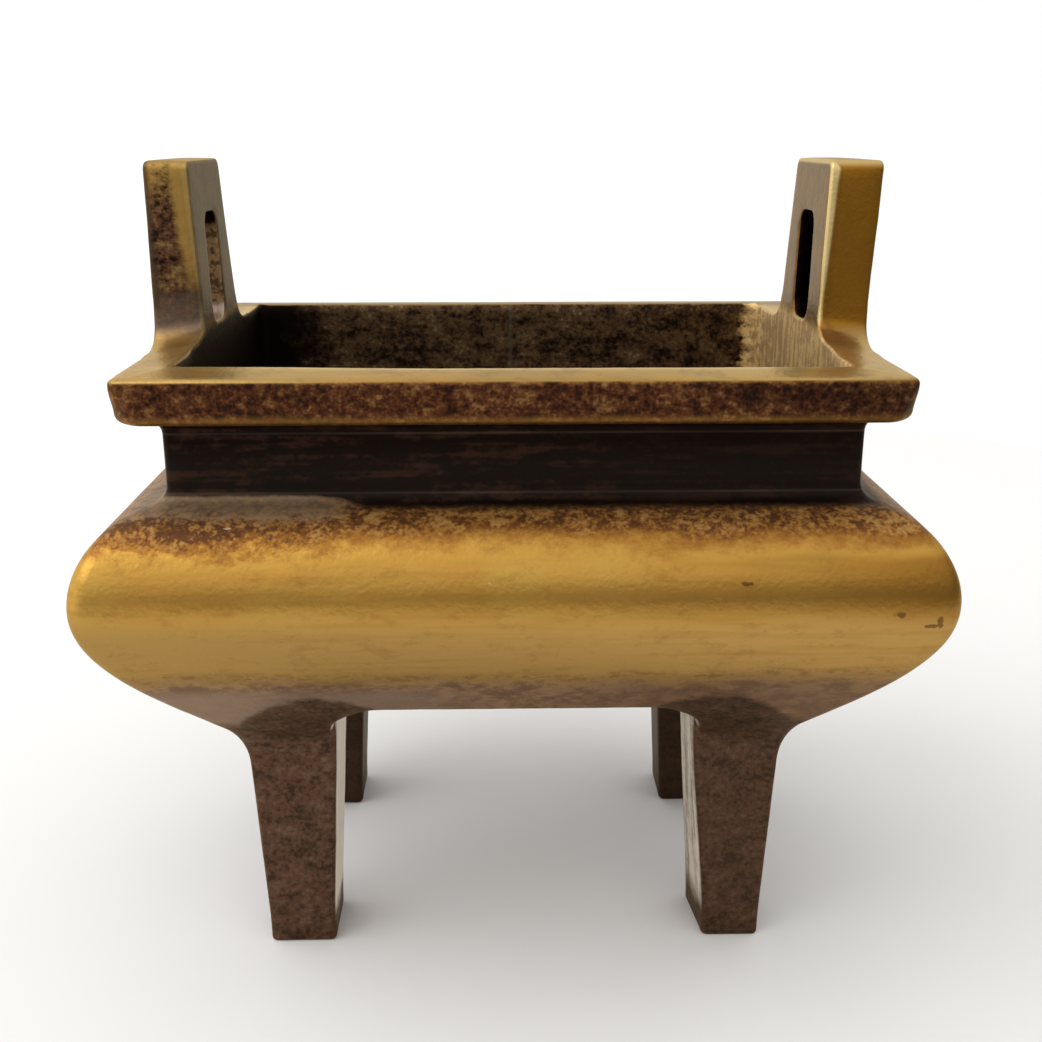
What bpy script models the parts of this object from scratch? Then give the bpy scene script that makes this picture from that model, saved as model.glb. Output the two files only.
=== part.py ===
# A brass incense burner in the four-legged rectangular form, made in one casting.
# A hollow belly stands on four tapering legs. Above it a straight recessed neck
# carries a flanged rim, and two upright slotted handles rise from the short sides.
# Sizes are in metres. The origin is on the table in the middle of the four feet,
# X runs along the vessel, Y through its depth and Z up.

import math

import bmesh
import bpy
from mathutils import Vector
from mathutils.geometry import intersect_line_plane

# Neck, over its outer faces. The rest of the body is set out from these faces.
NECK_LENGTH = 0.0974
NECK_DEPTH = 0.0728
NECK_WALL = 0.0022
NECK_RISE = 0.0118
NECK_CORNER_RADIUS = 0.0010
NECK_COVE_RADIUS = 0.0022
MOUTH_CORNER_RADIUS = 0.0016

# Rim, a flat flange that overhangs the neck all round
RIM_OVERHANG = 0.0056
RIM_THICKNESS = 0.0065
RIM_CORNER_RADIUS = 0.0020
RIM_LOWER_CORNER_RADIUS = 0.0032
RIM_LOWER_EDGE_RADIUS = 0.0012
RIM_COVE_RADIUS = 0.0020
EDGE_RADIUS = 0.0008
MOUTH_EDGE_RADIUS = 0.0005

# Belly, from the underside through its widest line to the top of the shoulder
BELLY_OVERHANG = 0.0121
BELLY_WALL = 0.0030
BELLY_CORNER_RADIUS = 0.0032
BELLY_LOWER_RISE = 0.0194
BELLY_UPPER_RISE = 0.0125
SHOULDER_OVERHANG = 0.0021
SHOULDER_SLOPE = math.radians(10)
SHOULDER_EDGE_RADIUS = 0.0012
FLANK_SLOPE = math.radians(46.7)
UNDERSIDE_OVERHANG = 0.0004
UNDERSIDE_EDGE_RADIUS = 0.0025
HIP_CORNER_RADIUS = 0.0020
FLOOR_FILLET_RADIUS = 0.0030

# How far each end of the belly's curve keeps its own direction, as shares of that half's rise
FLANK_PULL = 0.54
BELLY_LOWER_PULL = 0.30
BELLY_UPPER_PULL = 0.52
SHOULDER_PULL = 0.42

# How fully the handle's foot fillet fills out its corner, and the most of a face that a leg's fillet takes up
HANDLE_FILLET_PULL = 0.6
LEG_FILLET_SHARE = 0.95

# Legs, square in section, tapering to the foot. Insets are measured from the neck's outer face.
LEG_HEIGHT = 0.0445
LEG_TOP_INSET = 0.0070
LEG_TOP_LENGTH = 0.0149
LEG_TOP_DEPTH = 0.0146
FOOT_INSET_X = 0.0092
FOOT_INSET_Y = 0.0082
FOOT_LENGTH = 0.0104
FOOT_DEPTH = 0.0116
FOOT_EDGE_RADIUS = 0.0006
LEG_CORNER_RADIUS = 0.0009
HIP_RADIUS = 0.0100
CROTCH_RADIUS = 0.0020
LEG_WEB = 0.0060

# Handles, flush with the rim's outer face and the mouth's inner face, leaning outwards
HANDLE_RISE = 0.0272
HANDLE_TOP_WIDTH = 0.0232
HANDLE_BASE_WIDTH = 0.0270
HANDLE_LEAN = math.radians(2.3)
HANDLE_FILLET_RISE = 0.0037
HANDLE_FILLET_RUN = 0.0066
HANDLE_CORNER_RADIUS = 0.0016
SLOT_WIDTH = 0.0086
SLOT_HEIGHT = 0.0167
SLOT_SILL = 0.0023
SLOT_CORNER_RADIUS = 0.0024

# Faces along each stretch of the surface
MID_STEPS = 3
LEG_STEPS = 3
CORNER_STEPS = 4
EDGE_STEPS = 3
PLATE_STEPS = 4
CURVE_STEPS = 8
FILLET_STEPS = 4
WELD_DISTANCE = 1e-6

# Heights that follow from the sizes above
UNDERSIDE_Z = LEG_HEIGHT
WIDEST_Z = UNDERSIDE_Z + BELLY_LOWER_RISE
SHOULDER_Z = WIDEST_Z + BELLY_UPPER_RISE
RIM_UNDER_Z = SHOULDER_Z + NECK_RISE
RIM_TOP_Z = RIM_UNDER_Z + RIM_THICKNESS
HANDLE_TOP_Z = RIM_TOP_Z + HANDLE_RISE
FLOOR_Z = UNDERSIDE_Z + BELLY_WALL

# Where the legs' roots and the handles' feet end on the body
NECK_HALF_LENGTH = NECK_LENGTH / 2
NECK_HALF_DEPTH = NECK_DEPTH / 2
LEG_ROOT_X = NECK_HALF_LENGTH - LEG_TOP_INSET - LEG_TOP_LENGTH - LEG_WEB
LEG_ROOT_Y = NECK_HALF_DEPTH - LEG_TOP_INSET - LEG_TOP_DEPTH - LEG_WEB


def blend(first, second, share):
    return first + (second - first) * share


def stretch(first, last, steps):
    """Evenly spaced values from first up to, but without, last."""
    return [blend(first, last, i / steps) for i in range(steps)]


def arc(centre, radius, first_angle, last_angle, steps):
    """Points on a circle from one angle up to, but without, the other."""
    angles = stretch(first_angle, last_angle, steps)
    return [(centre[0] + radius * math.cos(a), centre[1] + radius * math.sin(a)) for a in angles]


def round_corner(before, corner, after, radius, steps):
    """A corner of a flat outline turned into an arc: each point on it, with the outline's direction there."""
    way_in = (corner - before).normalized()
    way_out = (after - corner).normalized()
    turn = math.atan2(way_in.x * way_out.y - way_in.y * way_out.x, way_in.dot(way_out))
    side = math.copysign(radius, turn)
    start = corner - way_in * radius * math.tan(abs(turn) / 2)
    centre = start + Vector((-way_in.y, way_in.x)) * side
    stations = []
    for angle in stretch(0, turn, steps) + [turn]:
        cos, sin = math.cos(angle), math.sin(angle)
        heading = Vector((way_in.x * cos - way_in.y * sin, way_in.x * sin + way_in.y * cos))
        stations.append((centre + Vector((heading.y, -heading.x)) * side, heading))
    return stations


def bezier(start, start_pull, end_pull, end, steps):
    """A cubic curve's points and directions, both ends included."""
    stations = []
    for i in range(steps + 1):
        t = i / steps
        s = 1 - t
        point = s**3 * start + 3 * s * s * t * start_pull + 3 * s * t * t * end_pull + t**3 * end
        heading = s * s * (start_pull - start) + 2 * s * t * (end_pull - start_pull)
        heading += t * t * (end - end_pull)
        stations.append((point, heading.normalized()))
    return stations


def belly_curve():
    """The belly's outer face from the underside up to the shoulder, as overhang and height."""
    low = Vector((UNDERSIDE_OVERHANG, UNDERSIDE_Z))
    widest = Vector((BELLY_OVERHANG, WIDEST_Z))
    high = Vector((SHOULDER_OVERHANG, SHOULDER_Z))
    flank = Vector((math.cos(FLANK_SLOPE), math.sin(FLANK_SLOPE)))
    shoulder = Vector((math.cos(SHOULDER_SLOPE), -math.sin(SHOULDER_SLOPE)))
    up = Vector((0, 1))
    lower = bezier(
        low,
        low + flank * FLANK_PULL * BELLY_LOWER_RISE,
        widest - up * BELLY_LOWER_PULL * BELLY_LOWER_RISE,
        widest,
        CURVE_STEPS,
    )
    upper = bezier(
        widest,
        widest + up * BELLY_UPPER_PULL * BELLY_UPPER_RISE,
        high + shoulder * SHOULDER_PULL * BELLY_UPPER_RISE,
        high,
        CURVE_STEPS,
    )
    return lower + upper[1:]


def belly_corner_radius(height):
    """The body's vertical corners are crisp at the neck and underside and soft where the belly is widest."""
    if height > WIDEST_Z:
        share = min(1, (height - WIDEST_Z) / BELLY_UPPER_RISE)
        return blend(BELLY_CORNER_RADIUS, NECK_CORNER_RADIUS, share * share)
    share = min(1, (WIDEST_Z - height) / BELLY_LOWER_RISE)
    return blend(BELLY_CORNER_RADIUS, HIP_CORNER_RADIUS, share)


def short_side_split(height):
    """Where the short side's columns change spacing: at the handle's foot above, at the leg's root below."""
    share = (height - UNDERSIDE_Z) / (RIM_UNDER_Z - UNDERSIDE_Z)
    return blend(LEG_ROOT_Y, handle_outline()[0][0].x, min(1, max(0, share)))


def ring(overhang, height, corner_radius):
    """A quarter of the body's plan at one height, from the long side's middle to the short side's."""
    half_length = NECK_HALF_LENGTH + overhang
    half_depth = NECK_HALF_DEPTH + overhang
    corner_x = half_length - corner_radius
    corner_y = half_depth - corner_radius
    split = short_side_split(height)
    xs = stretch(0, LEG_ROOT_X, MID_STEPS) + stretch(LEG_ROOT_X, corner_x, LEG_STEPS)
    ys = stretch(corner_y, split, LEG_STEPS) + stretch(split, 0, MID_STEPS) + [0]
    plan = [(x, half_depth) for x in xs]
    plan += arc((corner_x, corner_y), corner_radius, math.pi / 2, 0, CORNER_STEPS)
    plan += [(half_length, y) for y in ys]
    return [Vector((x, y, height)) for x, y in plan]


def underside_edge():
    """The rounding between flank and underside: its points and outward normals, from the flank down."""
    low, flank = belly_curve()[0]
    stations = round_corner(low + flank, low, low - Vector((1, 0)), UNDERSIDE_EDGE_RADIUS, EDGE_STEPS)
    return [(point, Vector((-heading.y, heading.x))) for point, heading in stations]


def outer_rows():
    """Rings of the outer skin from the end of the flank up to the rim's outer face."""
    flank_end = underside_edge()[0][0]
    belly = [flank_end] + [point for point, _ in belly_curve() if point.y > flank_end.y]
    shoulder_top = belly[-1]
    neck_foot = Vector((0, SHOULDER_Z + SHOULDER_OVERHANG * math.tan(SHOULDER_SLOPE)))
    neck_top = Vector((0, RIM_UNDER_Z))
    rim_under = Vector((RIM_OVERHANG, RIM_UNDER_Z))
    rim_top = Vector((RIM_OVERHANG, RIM_TOP_Z))
    cove = round_corner(shoulder_top, neck_foot, neck_top, NECK_COVE_RADIUS, EDGE_STEPS)
    rim_cove = round_corner(neck_foot, neck_top, rim_under, RIM_COVE_RADIUS, EDGE_STEPS)
    rim_edge = round_corner(neck_top, rim_under, rim_top, RIM_LOWER_EDGE_RADIUS, EDGE_STEPS)
    rows = [ring(p.x, p.y, belly_corner_radius(p.y)) for p in belly]
    rows += [ring(p.x, p.y, NECK_CORNER_RADIUS) for p, _ in cove + rim_cove]
    rows += [ring(p.x, p.y, RIM_LOWER_CORNER_RADIUS) for p, _ in rim_edge]
    rows.append(ring(RIM_OVERHANG, RIM_TOP_Z - EDGE_RADIUS, RIM_CORNER_RADIUS))
    return rows


def inner_rows():
    """Rings of the inner skin from just under the mouth's edge down to the floor."""
    curve = belly_curve()[::-1]
    inside = [point - Vector((heading.y, -heading.x)) * BELLY_WALL for point, heading in curve]
    mouth = Vector((-NECK_WALL, RIM_TOP_Z - MOUTH_EDGE_RADIUS))
    slope = math.tan(SHOULDER_SLOPE)
    under_shoulder = Vector((-NECK_WALL, inside[0].y + (inside[0].x + NECK_WALL) * slope))
    inside = [point for point in inside if point.y > FLOOR_Z + FLOOR_FILLET_RADIUS]
    flank_way = inside[-1] - inside[-2]
    reach = (inside[-1].y - FLOOR_Z) / -flank_way.y
    floor_corner = inside[-1] + flank_way * reach
    floor_in = floor_corner - Vector((1, 0))
    shoulder_edge = round_corner(mouth, under_shoulder, inside[0], SHOULDER_EDGE_RADIUS, EDGE_STEPS)
    floor_fillet = round_corner(inside[-1], floor_corner, floor_in, FLOOR_FILLET_RADIUS, EDGE_STEPS)
    rows = [ring(mouth.x, mouth.y, MOUTH_CORNER_RADIUS)]
    rows += [ring(p.x, p.y, MOUTH_CORNER_RADIUS) for p, _ in shoulder_edge]
    belly = inside + [point for point, _ in floor_fillet]
    rows += [ring(p.x, p.y, max(MOUTH_CORNER_RADIUS, belly_corner_radius(p.y))) for p in belly]
    return rows


def top_section():
    """The rim's top from its outer face to the mouth, as overhang and depth below the top."""
    angles = stretch(0, math.pi / 2, EDGE_STEPS) + [math.pi / 2]
    curve = [(1 - math.cos(angle), 1 - math.sin(angle)) for angle in angles]
    outer = [(RIM_OVERHANG - EDGE_RADIUS * across, EDGE_RADIUS * depth) for across, depth in curve]
    inner = [(-NECK_WALL + MOUTH_EDGE_RADIUS * across, MOUTH_EDGE_RADIUS * depth) for across, depth in curve]
    return outer, inner[::-1]


def rim_top_rows():
    """The rim's top round the body as far as the handle's foot."""
    outer, inner = top_section()
    rows = [ring(overhang, RIM_TOP_Z - depth, RIM_CORNER_RADIUS) for overhang, depth in outer]
    rows += [ring(overhang, RIM_TOP_Z - depth, MOUTH_CORNER_RADIUS) for overhang, depth in inner]
    return [row[:-MID_STEPS] for row in rows]


def handle_outline():
    """The handle's edge seen along X, from its foot on the rim to the middle of its top."""
    foot = Vector((HANDLE_BASE_WIDTH / 2, RIM_TOP_Z))
    corner = Vector((HANDLE_TOP_WIDTH / 2, HANDLE_TOP_Z))
    middle = Vector((0, HANDLE_TOP_Z))
    start = foot + Vector((HANDLE_FILLET_RUN, 0))
    end = foot + (corner - foot).normalized() * HANDLE_FILLET_RISE
    pulls = blend(start, foot, HANDLE_FILLET_PULL), blend(end, foot, HANDLE_FILLET_PULL)
    stations = bezier(start, *pulls, end, FILLET_STEPS)
    stations += round_corner(foot, corner, middle, HANDLE_CORNER_RADIUS, FILLET_STEPS)
    return stations + [(middle, Vector((-1, 0)))]


def handle_point(overhang, y, z):
    """A point on the handle, which leans outwards above the rim."""
    lean = max(0, z - RIM_TOP_Z) * math.tan(HANDLE_LEAN)
    return Vector((NECK_HALF_LENGTH + overhang + lean, y, z))


def handle_edge_rows():
    """The surface across the handle's thickness, following its outline."""
    outer, inner = top_section()
    rows = []
    for overhang, depth in outer + inner:
        row = []
        for point, heading in handle_outline():
            inward = Vector((-heading.y, heading.x)) * depth
            row.append(handle_point(overhang, point.x + inward.x, point.y + inward.y))
        rows.append(row)
    return rows


def slot_outline(count):
    """Half of the slot's outline from the middle of its sill to the middle of its head."""
    low = RIM_TOP_Z + SLOT_SILL
    high = low + SLOT_HEIGHT
    side = SLOT_WIDTH / 2
    radius = SLOT_CORNER_RADIUS
    quarter = math.pi / 2
    side_steps = count - 1 - 2 * MID_STEPS - 2 * EDGE_STEPS
    points = [(y, low) for y in stretch(0, side - radius, MID_STEPS)]
    points += arc((side - radius, low + radius), radius, -quarter, 0, EDGE_STEPS)
    points += [(side, z) for z in stretch(low + radius, high - radius, side_steps)]
    points += arc((side - radius, high - radius), radius, 0, quarter, EDGE_STEPS)
    points += [(y, high) for y in stretch(side - radius, 0, MID_STEPS)]
    return points + [(0, high)]


def handle_face(edge, rim_row, slot):
    """The flat face between the slot and the handle's edge."""
    rim = rim_row[-MID_STEPS - 1 :][::-1]
    return [rim + edge[1:], slot]


def leg_section(height, inset=0.0):
    """The leg's section, starting on the side towards the long face and turning towards the short one."""
    share = height / UNDERSIDE_Z
    outer_x = NECK_HALF_LENGTH - blend(FOOT_INSET_X, LEG_TOP_INSET, share)
    outer_y = NECK_HALF_DEPTH - blend(FOOT_INSET_Y, LEG_TOP_INSET, share)
    low_x = outer_x - blend(FOOT_LENGTH, LEG_TOP_LENGTH, share) + LEG_CORNER_RADIUS
    low_y = outer_y - blend(FOOT_DEPTH, LEG_TOP_DEPTH, share) + LEG_CORNER_RADIUS
    high_x = outer_x - LEG_CORNER_RADIUS
    high_y = outer_y - LEG_CORNER_RADIUS
    radius = LEG_CORNER_RADIUS - inset
    quarter = math.pi / 2
    plan = [(x, high_y + radius) for x in stretch(low_x, high_x, LEG_STEPS)]
    plan += arc((high_x, high_y), radius, quarter, 0, CORNER_STEPS)
    plan += [(high_x + radius, y) for y in stretch(high_y, low_y, LEG_STEPS)]
    plan += arc((high_x, low_y), radius, 0, -quarter, EDGE_STEPS)
    plan += [(x, low_y - radius) for x in stretch(high_x, low_x, PLATE_STEPS - 1)]
    plan += arc((low_x, low_y), radius, -quarter, -2 * quarter, 2)
    plan += [(low_x - radius, y) for y in stretch(low_y, high_y, PLATE_STEPS - 1)]
    plan += arc((low_x, high_y), radius, 2 * quarter, quarter, EDGE_STEPS)
    return [Vector((x, y, height)) for x, y in plan]


def edge_rings():
    """The rings that turn the flank under, with the normal of the rounding at each."""
    rings = []
    for point, normal in underside_edge():
        rings.append((ring(point.x, point.y, belly_corner_radius(point.y)), normal))
    return rings


def leg_root():
    """The outline on the body that one leg grows out of: each point with the body's normal and a fillet radius.

    It runs in step with leg_section: along the flank, over the underside's edge and back across the underside.
    """
    rings = edge_rings()
    first = MID_STEPS
    last = len(rings[0][0]) - 1 - MID_STEPS
    corner = MID_STEPS + LEG_STEPS
    root = []
    flank, flank_normal = rings[0]
    for i in range(first, last + 1):
        turn = min(1, max(0, (i - corner) / CORNER_STEPS)) * math.pi / 2
        sin, cos = math.sin(turn), math.cos(turn)
        normal = Vector((sin * flank_normal.x, cos * flank_normal.x, (sin + cos) * flank_normal.y))
        share = min(1, (i - first) / LEG_STEPS, (last - i) / LEG_STEPS)
        root.append((flank[i], normal, blend(CROTCH_RADIUS, HIP_RADIUS, share)))
    for points, normal in rings[1:]:
        root.append((points[last], Vector((normal.x, 0, normal.y)), CROTCH_RADIUS))
    down = Vector((0, 0, -1))
    short_edge = rings[-1][0][last]
    long_edge = rings[-1][0][first]
    inner = Vector((LEG_ROOT_X, LEG_ROOT_Y, UNDERSIDE_Z))
    for start, end in ((short_edge, inner), (inner, long_edge)):
        for i in range(1, PLATE_STEPS + 1):
            root.append((blend(start, end, i / PLATE_STEPS), down, CROTCH_RADIUS))
    for points, normal in rings[-2:0:-1]:
        root.append((points[first], Vector((0, normal.x, normal.y)), CROTCH_RADIUS))
    return root


def leg_column(root_point, normal, radius, top, foot):
    """From the body straight towards the leg's face, round a fillet, and onto that face."""
    along = (foot - top).normalized()
    corner = intersect_line_plane(top, foot, root_point, normal)
    way_in = (corner - root_point).normalized()
    turn = way_in.angle(along)
    reach = min(radius * math.tan(turn / 2), LEG_FILLET_SHARE * (corner - root_point).length)
    pull = (4 / 3) * math.tan(turn / 4) / math.tan(turn / 2)
    start = corner - way_in * reach
    end = corner + along * reach
    handles = start + way_in * reach * pull, end - along * reach * pull
    fillet = [point for point, _ in bezier(start, *handles, end, FILLET_STEPS)]
    return [root_point] + fillet


def leg_rows():
    """One leg's skin from its root on the body down to the rounded edge of its foot."""
    tops = leg_section(UNDERSIDE_Z)
    feet = leg_section(0)
    root = leg_root()
    columns = [leg_column(*station, top, foot) for station, top, foot in zip(root, tops, feet)]
    rows = [list(row) for row in zip(*columns)]
    for angle in stretch(0, math.pi / 2, EDGE_STEPS) + [math.pi / 2]:
        inset = FOOT_EDGE_RADIUS * (1 - math.cos(angle))
        rows.append(leg_section(FOOT_EDGE_RADIUS * (1 - math.sin(angle)), inset))
    return rows


def underside_patches():
    """The flat underside between the legs, in three rectangles."""
    edge = edge_rings()[-1][0]
    mid_x = stretch(0, LEG_ROOT_X, MID_STEPS) + [LEG_ROOT_X]
    mid_y = stretch(0, LEG_ROOT_Y, MID_STEPS) + [LEG_ROOT_Y]
    side_x = stretch(LEG_ROOT_X, edge[-1].x, PLATE_STEPS) + [edge[-1].x]
    side_y = stretch(LEG_ROOT_Y, edge[0].y, PLATE_STEPS) + [edge[0].y]
    patches = []
    for xs, ys in ((mid_x, mid_y), (mid_x, side_y), (side_x, mid_y)):
        patches.append([[Vector((x, y, UNDERSIDE_Z)) for x in xs] for y in ys])
    return patches


class Skin:
    """A quarter of the casting's surface, put together from strips of four-sided faces."""

    def __init__(self):
        self.mesh = bmesh.new()

    def add_face(self, points):
        self.mesh.faces.new([self.mesh.verts.new(point) for point in points])

    def add_rows(self, rows, closed=False):
        for near, far in zip(rows, rows[1:]):
            count = len(near)
            for i in range(count if closed else count - 1):
                j = (i + 1) % count
                self.add_face([near[i], near[j], far[j], far[i]])

    def finish(self, name):
        """Welds the strips, mirrors the quarter about both middles and turns every face outwards."""
        mesh = self.mesh
        bmesh.ops.remove_doubles(mesh, verts=mesh.verts, dist=WELD_DISTANCE)
        for axis in ("X", "Y"):
            geometry = mesh.verts[:] + mesh.edges[:] + mesh.faces[:]
            bmesh.ops.mirror(mesh, geom=geometry, axis=axis, merge_dist=WELD_DISTANCE)
        bmesh.ops.remove_doubles(mesh, verts=mesh.verts, dist=WELD_DISTANCE)
        bmesh.ops.recalc_face_normals(mesh, faces=mesh.faces)
        data = bpy.data.meshes.new(name)
        mesh.to_mesh(data)
        mesh.free()
        return data


def burner_mesh(name):
    skin = Skin()
    outside = outer_rows()
    inside = inner_rows()
    skin.add_rows(outside)
    skin.add_rows(inside)
    skin.add_face(inside[-1] + [Vector((0, 0, FLOOR_Z))])
    skin.add_rows(rim_top_rows())
    edge = handle_edge_rows()
    skin.add_rows(edge)
    slot = slot_outline(MID_STEPS + len(edge[0]))
    outer_slot = [handle_point(RIM_OVERHANG, y, z) for y, z in slot]
    inner_slot = [handle_point(-NECK_WALL, y, z) for y, z in slot]
    skin.add_rows(handle_face(edge[0], outside[-1], outer_slot))
    skin.add_rows(handle_face(edge[-1], inside[0], inner_slot))
    skin.add_rows([outer_slot, inner_slot])
    turned_under = [points for points, _ in edge_rings()]
    skin.add_rows([points[: MID_STEPS + 1] for points in turned_under])
    skin.add_rows([points[-MID_STEPS - 1 :] for points in turned_under])
    for patch in underside_patches():
        skin.add_rows(patch)
    legs = leg_rows()
    skin.add_rows(legs, closed=True)
    skin.add_face(legs[-1])
    return skin.finish(name)


def patinated_brass():
    material = bpy.data.materials.new("patinated_brass")
    material.use_nodes = True
    shader = material.node_tree.nodes["Principled BSDF"]
    shader.inputs["Base Color"].default_value = (0.42, 0.27, 0.09, 1)
    shader.inputs["Metallic"].default_value = 1.0
    shader.inputs["Roughness"].default_value = 0.38
    return material


def build():
    for old in list(bpy.data.objects):
        bpy.data.objects.remove(old)
    name = "burner_casting"
    burner = bpy.data.objects.new(name, burner_mesh(name))
    burner.data.materials.append(patinated_brass())
    burner.data.shade_smooth()
    burner.data.set_sharp_from_angle(angle=math.radians(35))
    bpy.context.scene.collection.objects.link(burner)


build()
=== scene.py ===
import math

import bmesh
import bpy
import numpy as np
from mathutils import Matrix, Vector
from mathutils.geometry import intersect_line_plane


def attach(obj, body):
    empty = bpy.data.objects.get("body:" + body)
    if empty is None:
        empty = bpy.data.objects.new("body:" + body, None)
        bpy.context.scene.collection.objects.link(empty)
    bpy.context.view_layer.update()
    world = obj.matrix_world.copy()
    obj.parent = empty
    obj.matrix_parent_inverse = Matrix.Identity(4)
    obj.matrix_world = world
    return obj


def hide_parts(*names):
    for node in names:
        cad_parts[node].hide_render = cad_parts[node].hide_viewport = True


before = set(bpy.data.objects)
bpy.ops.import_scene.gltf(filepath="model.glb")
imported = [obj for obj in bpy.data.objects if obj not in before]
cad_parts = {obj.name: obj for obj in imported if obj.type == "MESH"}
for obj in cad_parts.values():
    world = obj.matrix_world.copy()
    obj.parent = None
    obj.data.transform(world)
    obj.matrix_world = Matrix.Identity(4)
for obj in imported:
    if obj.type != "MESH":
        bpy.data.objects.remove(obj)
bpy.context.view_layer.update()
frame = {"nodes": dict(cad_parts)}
print("frame loaded:", ", ".join(frame["nodes"]))

# belly, neck and rim, all set out from the neck's outer faces
body = {
    "neckLength": 0.0974,
    "neckDepth": 0.0728,
    "neckWall": 0.0022,
    "neckRise": 0.0118,
    "neckCorner": 0.0010,
    "neckCove": 0.0022,
    "mouthCorner": 0.0016,
    "mouthEdge": 0.0005,
    "rimOverhang": 0.0056,
    "rimThickness": 0.0065,
    "rimCorner": 0.0020,
    "rimLowerCorner": 0.0032,
    "rimLowerEdge": 0.0012,
    "rimCove": 0.0020,
    "rimEdge": 0.0008,
    "bellyOverhang": 0.0121,
    "bellyWall": 0.0030,
    "bellyCorner": 0.0032,
    "lowerRise": 0.0194,
    "upperRise": 0.0125,
    "shoulderOverhang": 0.0021,
    "shoulderSlope": math.radians(10),
    "shoulderEdge": 0.0012,
    "flankSlope": math.radians(46.7),
    "undersideOverhang": 0.0004,
    "undersideEdge": 0.0025,
    "hipCorner": 0.0020,
    "floorFillet": 0.0030,
    "flankPull": 0.54,      # the pulls shape the belly's curve, as shares of each half's rise
    "lowerPull": 0.30,
    "upperPull": 0.52,
    "shoulderPull": 0.42,
}

# legs, square in section, with insets from the neck's outer face
leg = {
    "height": 0.0445,
    "topInset": 0.0070,
    "topLength": 0.0149,
    "topDepth": 0.0146,
    "footInsetX": 0.0092,
    "footInsetY": 0.0082,
    "footLength": 0.0104,
    "footDepth": 0.0116,
    "footEdge": 0.0006,
    "corner": 0.0009,
    "hipFillet": 0.0100,
    "crotchFillet": 0.0020,
    "filletShare": 0.95,
    "web": 0.0060,
    "flare": 2.0,
}

# handles, flush with the rim's outer face and the mouth's inner face
handle = {
    "rise": 0.0272,
    "topWidth": 0.0232,
    "baseWidth": 0.0270,
    "lean": math.radians(2.3),
    "filletRise": 0.0037,
    "filletRun": 0.0066,
    "filletPull": 0.6,
    "corner": 0.0016,
    "slotWidth": 0.0086,
    "slotHeight": 0.0167,
    "slotSill": 0.0023,
    "slotCorner": 0.0024,
    "slotEdge": 0.0004,
}

# faces along each stretch of the surface
steps = {
    "middle": 12,
    "side": 20,
    "corner": 8,
    "edge": 6,
    "plate": 14,
    "curve": 26,
    "fillet": 10,
    "flat": 6,
    "wall": 14,
    "leg": 16,
    "upright": 16,
}
weld = 4e-6

neckX = body["neckLength"] / 2
neckY = body["neckDepth"] / 2
undersideZ = leg["height"]
widestZ = undersideZ + body["lowerRise"]
shoulderZ = widestZ + body["upperRise"]
rimUnderZ = shoulderZ + body["neckRise"]
rimTopZ = rimUnderZ + body["rimThickness"]
handleTopZ = rimTopZ + handle["rise"]
floorZ = undersideZ + body["bellyWall"]
legRootX = neckX - leg["topInset"] - leg["topLength"] - leg["web"]
legRootY = neckY - leg["topInset"] - leg["topDepth"] - leg["web"]
handleFootY = handle["baseWidth"] / 2 + handle["filletRun"]
quarterTurn = math.pi / 2


# plain curves

def blend(first, second, share):
    return first + (second - first) * share


def stretch(first, last, count):
    return [blend(first, last, i / count) for i in range(count)]


def upTo(first, last, count):
    return stretch(first, last, count) + [last]


def arc(centre, radius, firstAngle, lastAngle, count):
    angles = stretch(firstAngle, lastAngle, count)
    return [(centre[0] + radius * math.cos(a), centre[1] + radius * math.sin(a)) for a in angles]


def roundCorner(before, corner, after, radius, count):
    # each point on the arc, with the outline's direction there
    wayIn = (corner - before).normalized()
    wayOut = (after - corner).normalized()
    turn = math.atan2(wayIn.x * wayOut.y - wayIn.y * wayOut.x, wayIn.dot(wayOut))
    side = math.copysign(radius, turn)
    start = corner - wayIn * radius * math.tan(abs(turn) / 2)
    centre = start + Vector((-wayIn.y, wayIn.x)) * side
    stations = []
    for angle in upTo(0, turn, count):
        cos, sin = math.cos(angle), math.sin(angle)
        heading = Vector((wayIn.x * cos - wayIn.y * sin, wayIn.x * sin + wayIn.y * cos))
        stations.append((centre + Vector((heading.y, -heading.x)) * side, heading))
    return stations


def bezier(start, startPull, endPull, end, count):
    stations = []
    for i in range(count + 1):
        t = i / count
        s = 1 - t
        point = s**3 * start + 3 * s * s * t * startPull + 3 * s * t * t * endPull + t**3 * end
        heading = s * s * (startPull - start) + 2 * s * t * (endPull - startPull)
        heading += t * t * (end - endPull)
        stations.append((point, heading.normalized()))
    return stations


# the wall's profile: overhang beyond the neck against height, with the plan's corner radius

def bellyCurve():
    low = Vector((body["undersideOverhang"], undersideZ))
    widest = Vector((body["bellyOverhang"], widestZ))
    high = Vector((body["shoulderOverhang"], shoulderZ))
    flank = Vector((math.cos(body["flankSlope"]), math.sin(body["flankSlope"])))
    shoulder = Vector((math.cos(body["shoulderSlope"]), -math.sin(body["shoulderSlope"])))
    up = Vector((0, 1))
    flankEnd = low + flank * body["flankPull"] * body["lowerRise"]
    lowerEnd = widest - up * body["lowerPull"] * body["lowerRise"]
    upperEnd = widest + up * body["upperPull"] * body["upperRise"]
    shoulderEnd = high + shoulder * body["shoulderPull"] * body["upperRise"]
    lower = bezier(low, flankEnd, lowerEnd, widest, steps["curve"])
    return lower + bezier(widest, upperEnd, shoulderEnd, high, steps["curve"])[1:]


def bellyCorner(height):
    if height > widestZ:
        share = min(1, (height - widestZ) / body["upperRise"])
        return blend(body["bellyCorner"], body["neckCorner"], share * share)
    share = min(1, (widestZ - height) / body["lowerRise"])
    return blend(body["bellyCorner"], body["hipCorner"], share)


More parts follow.
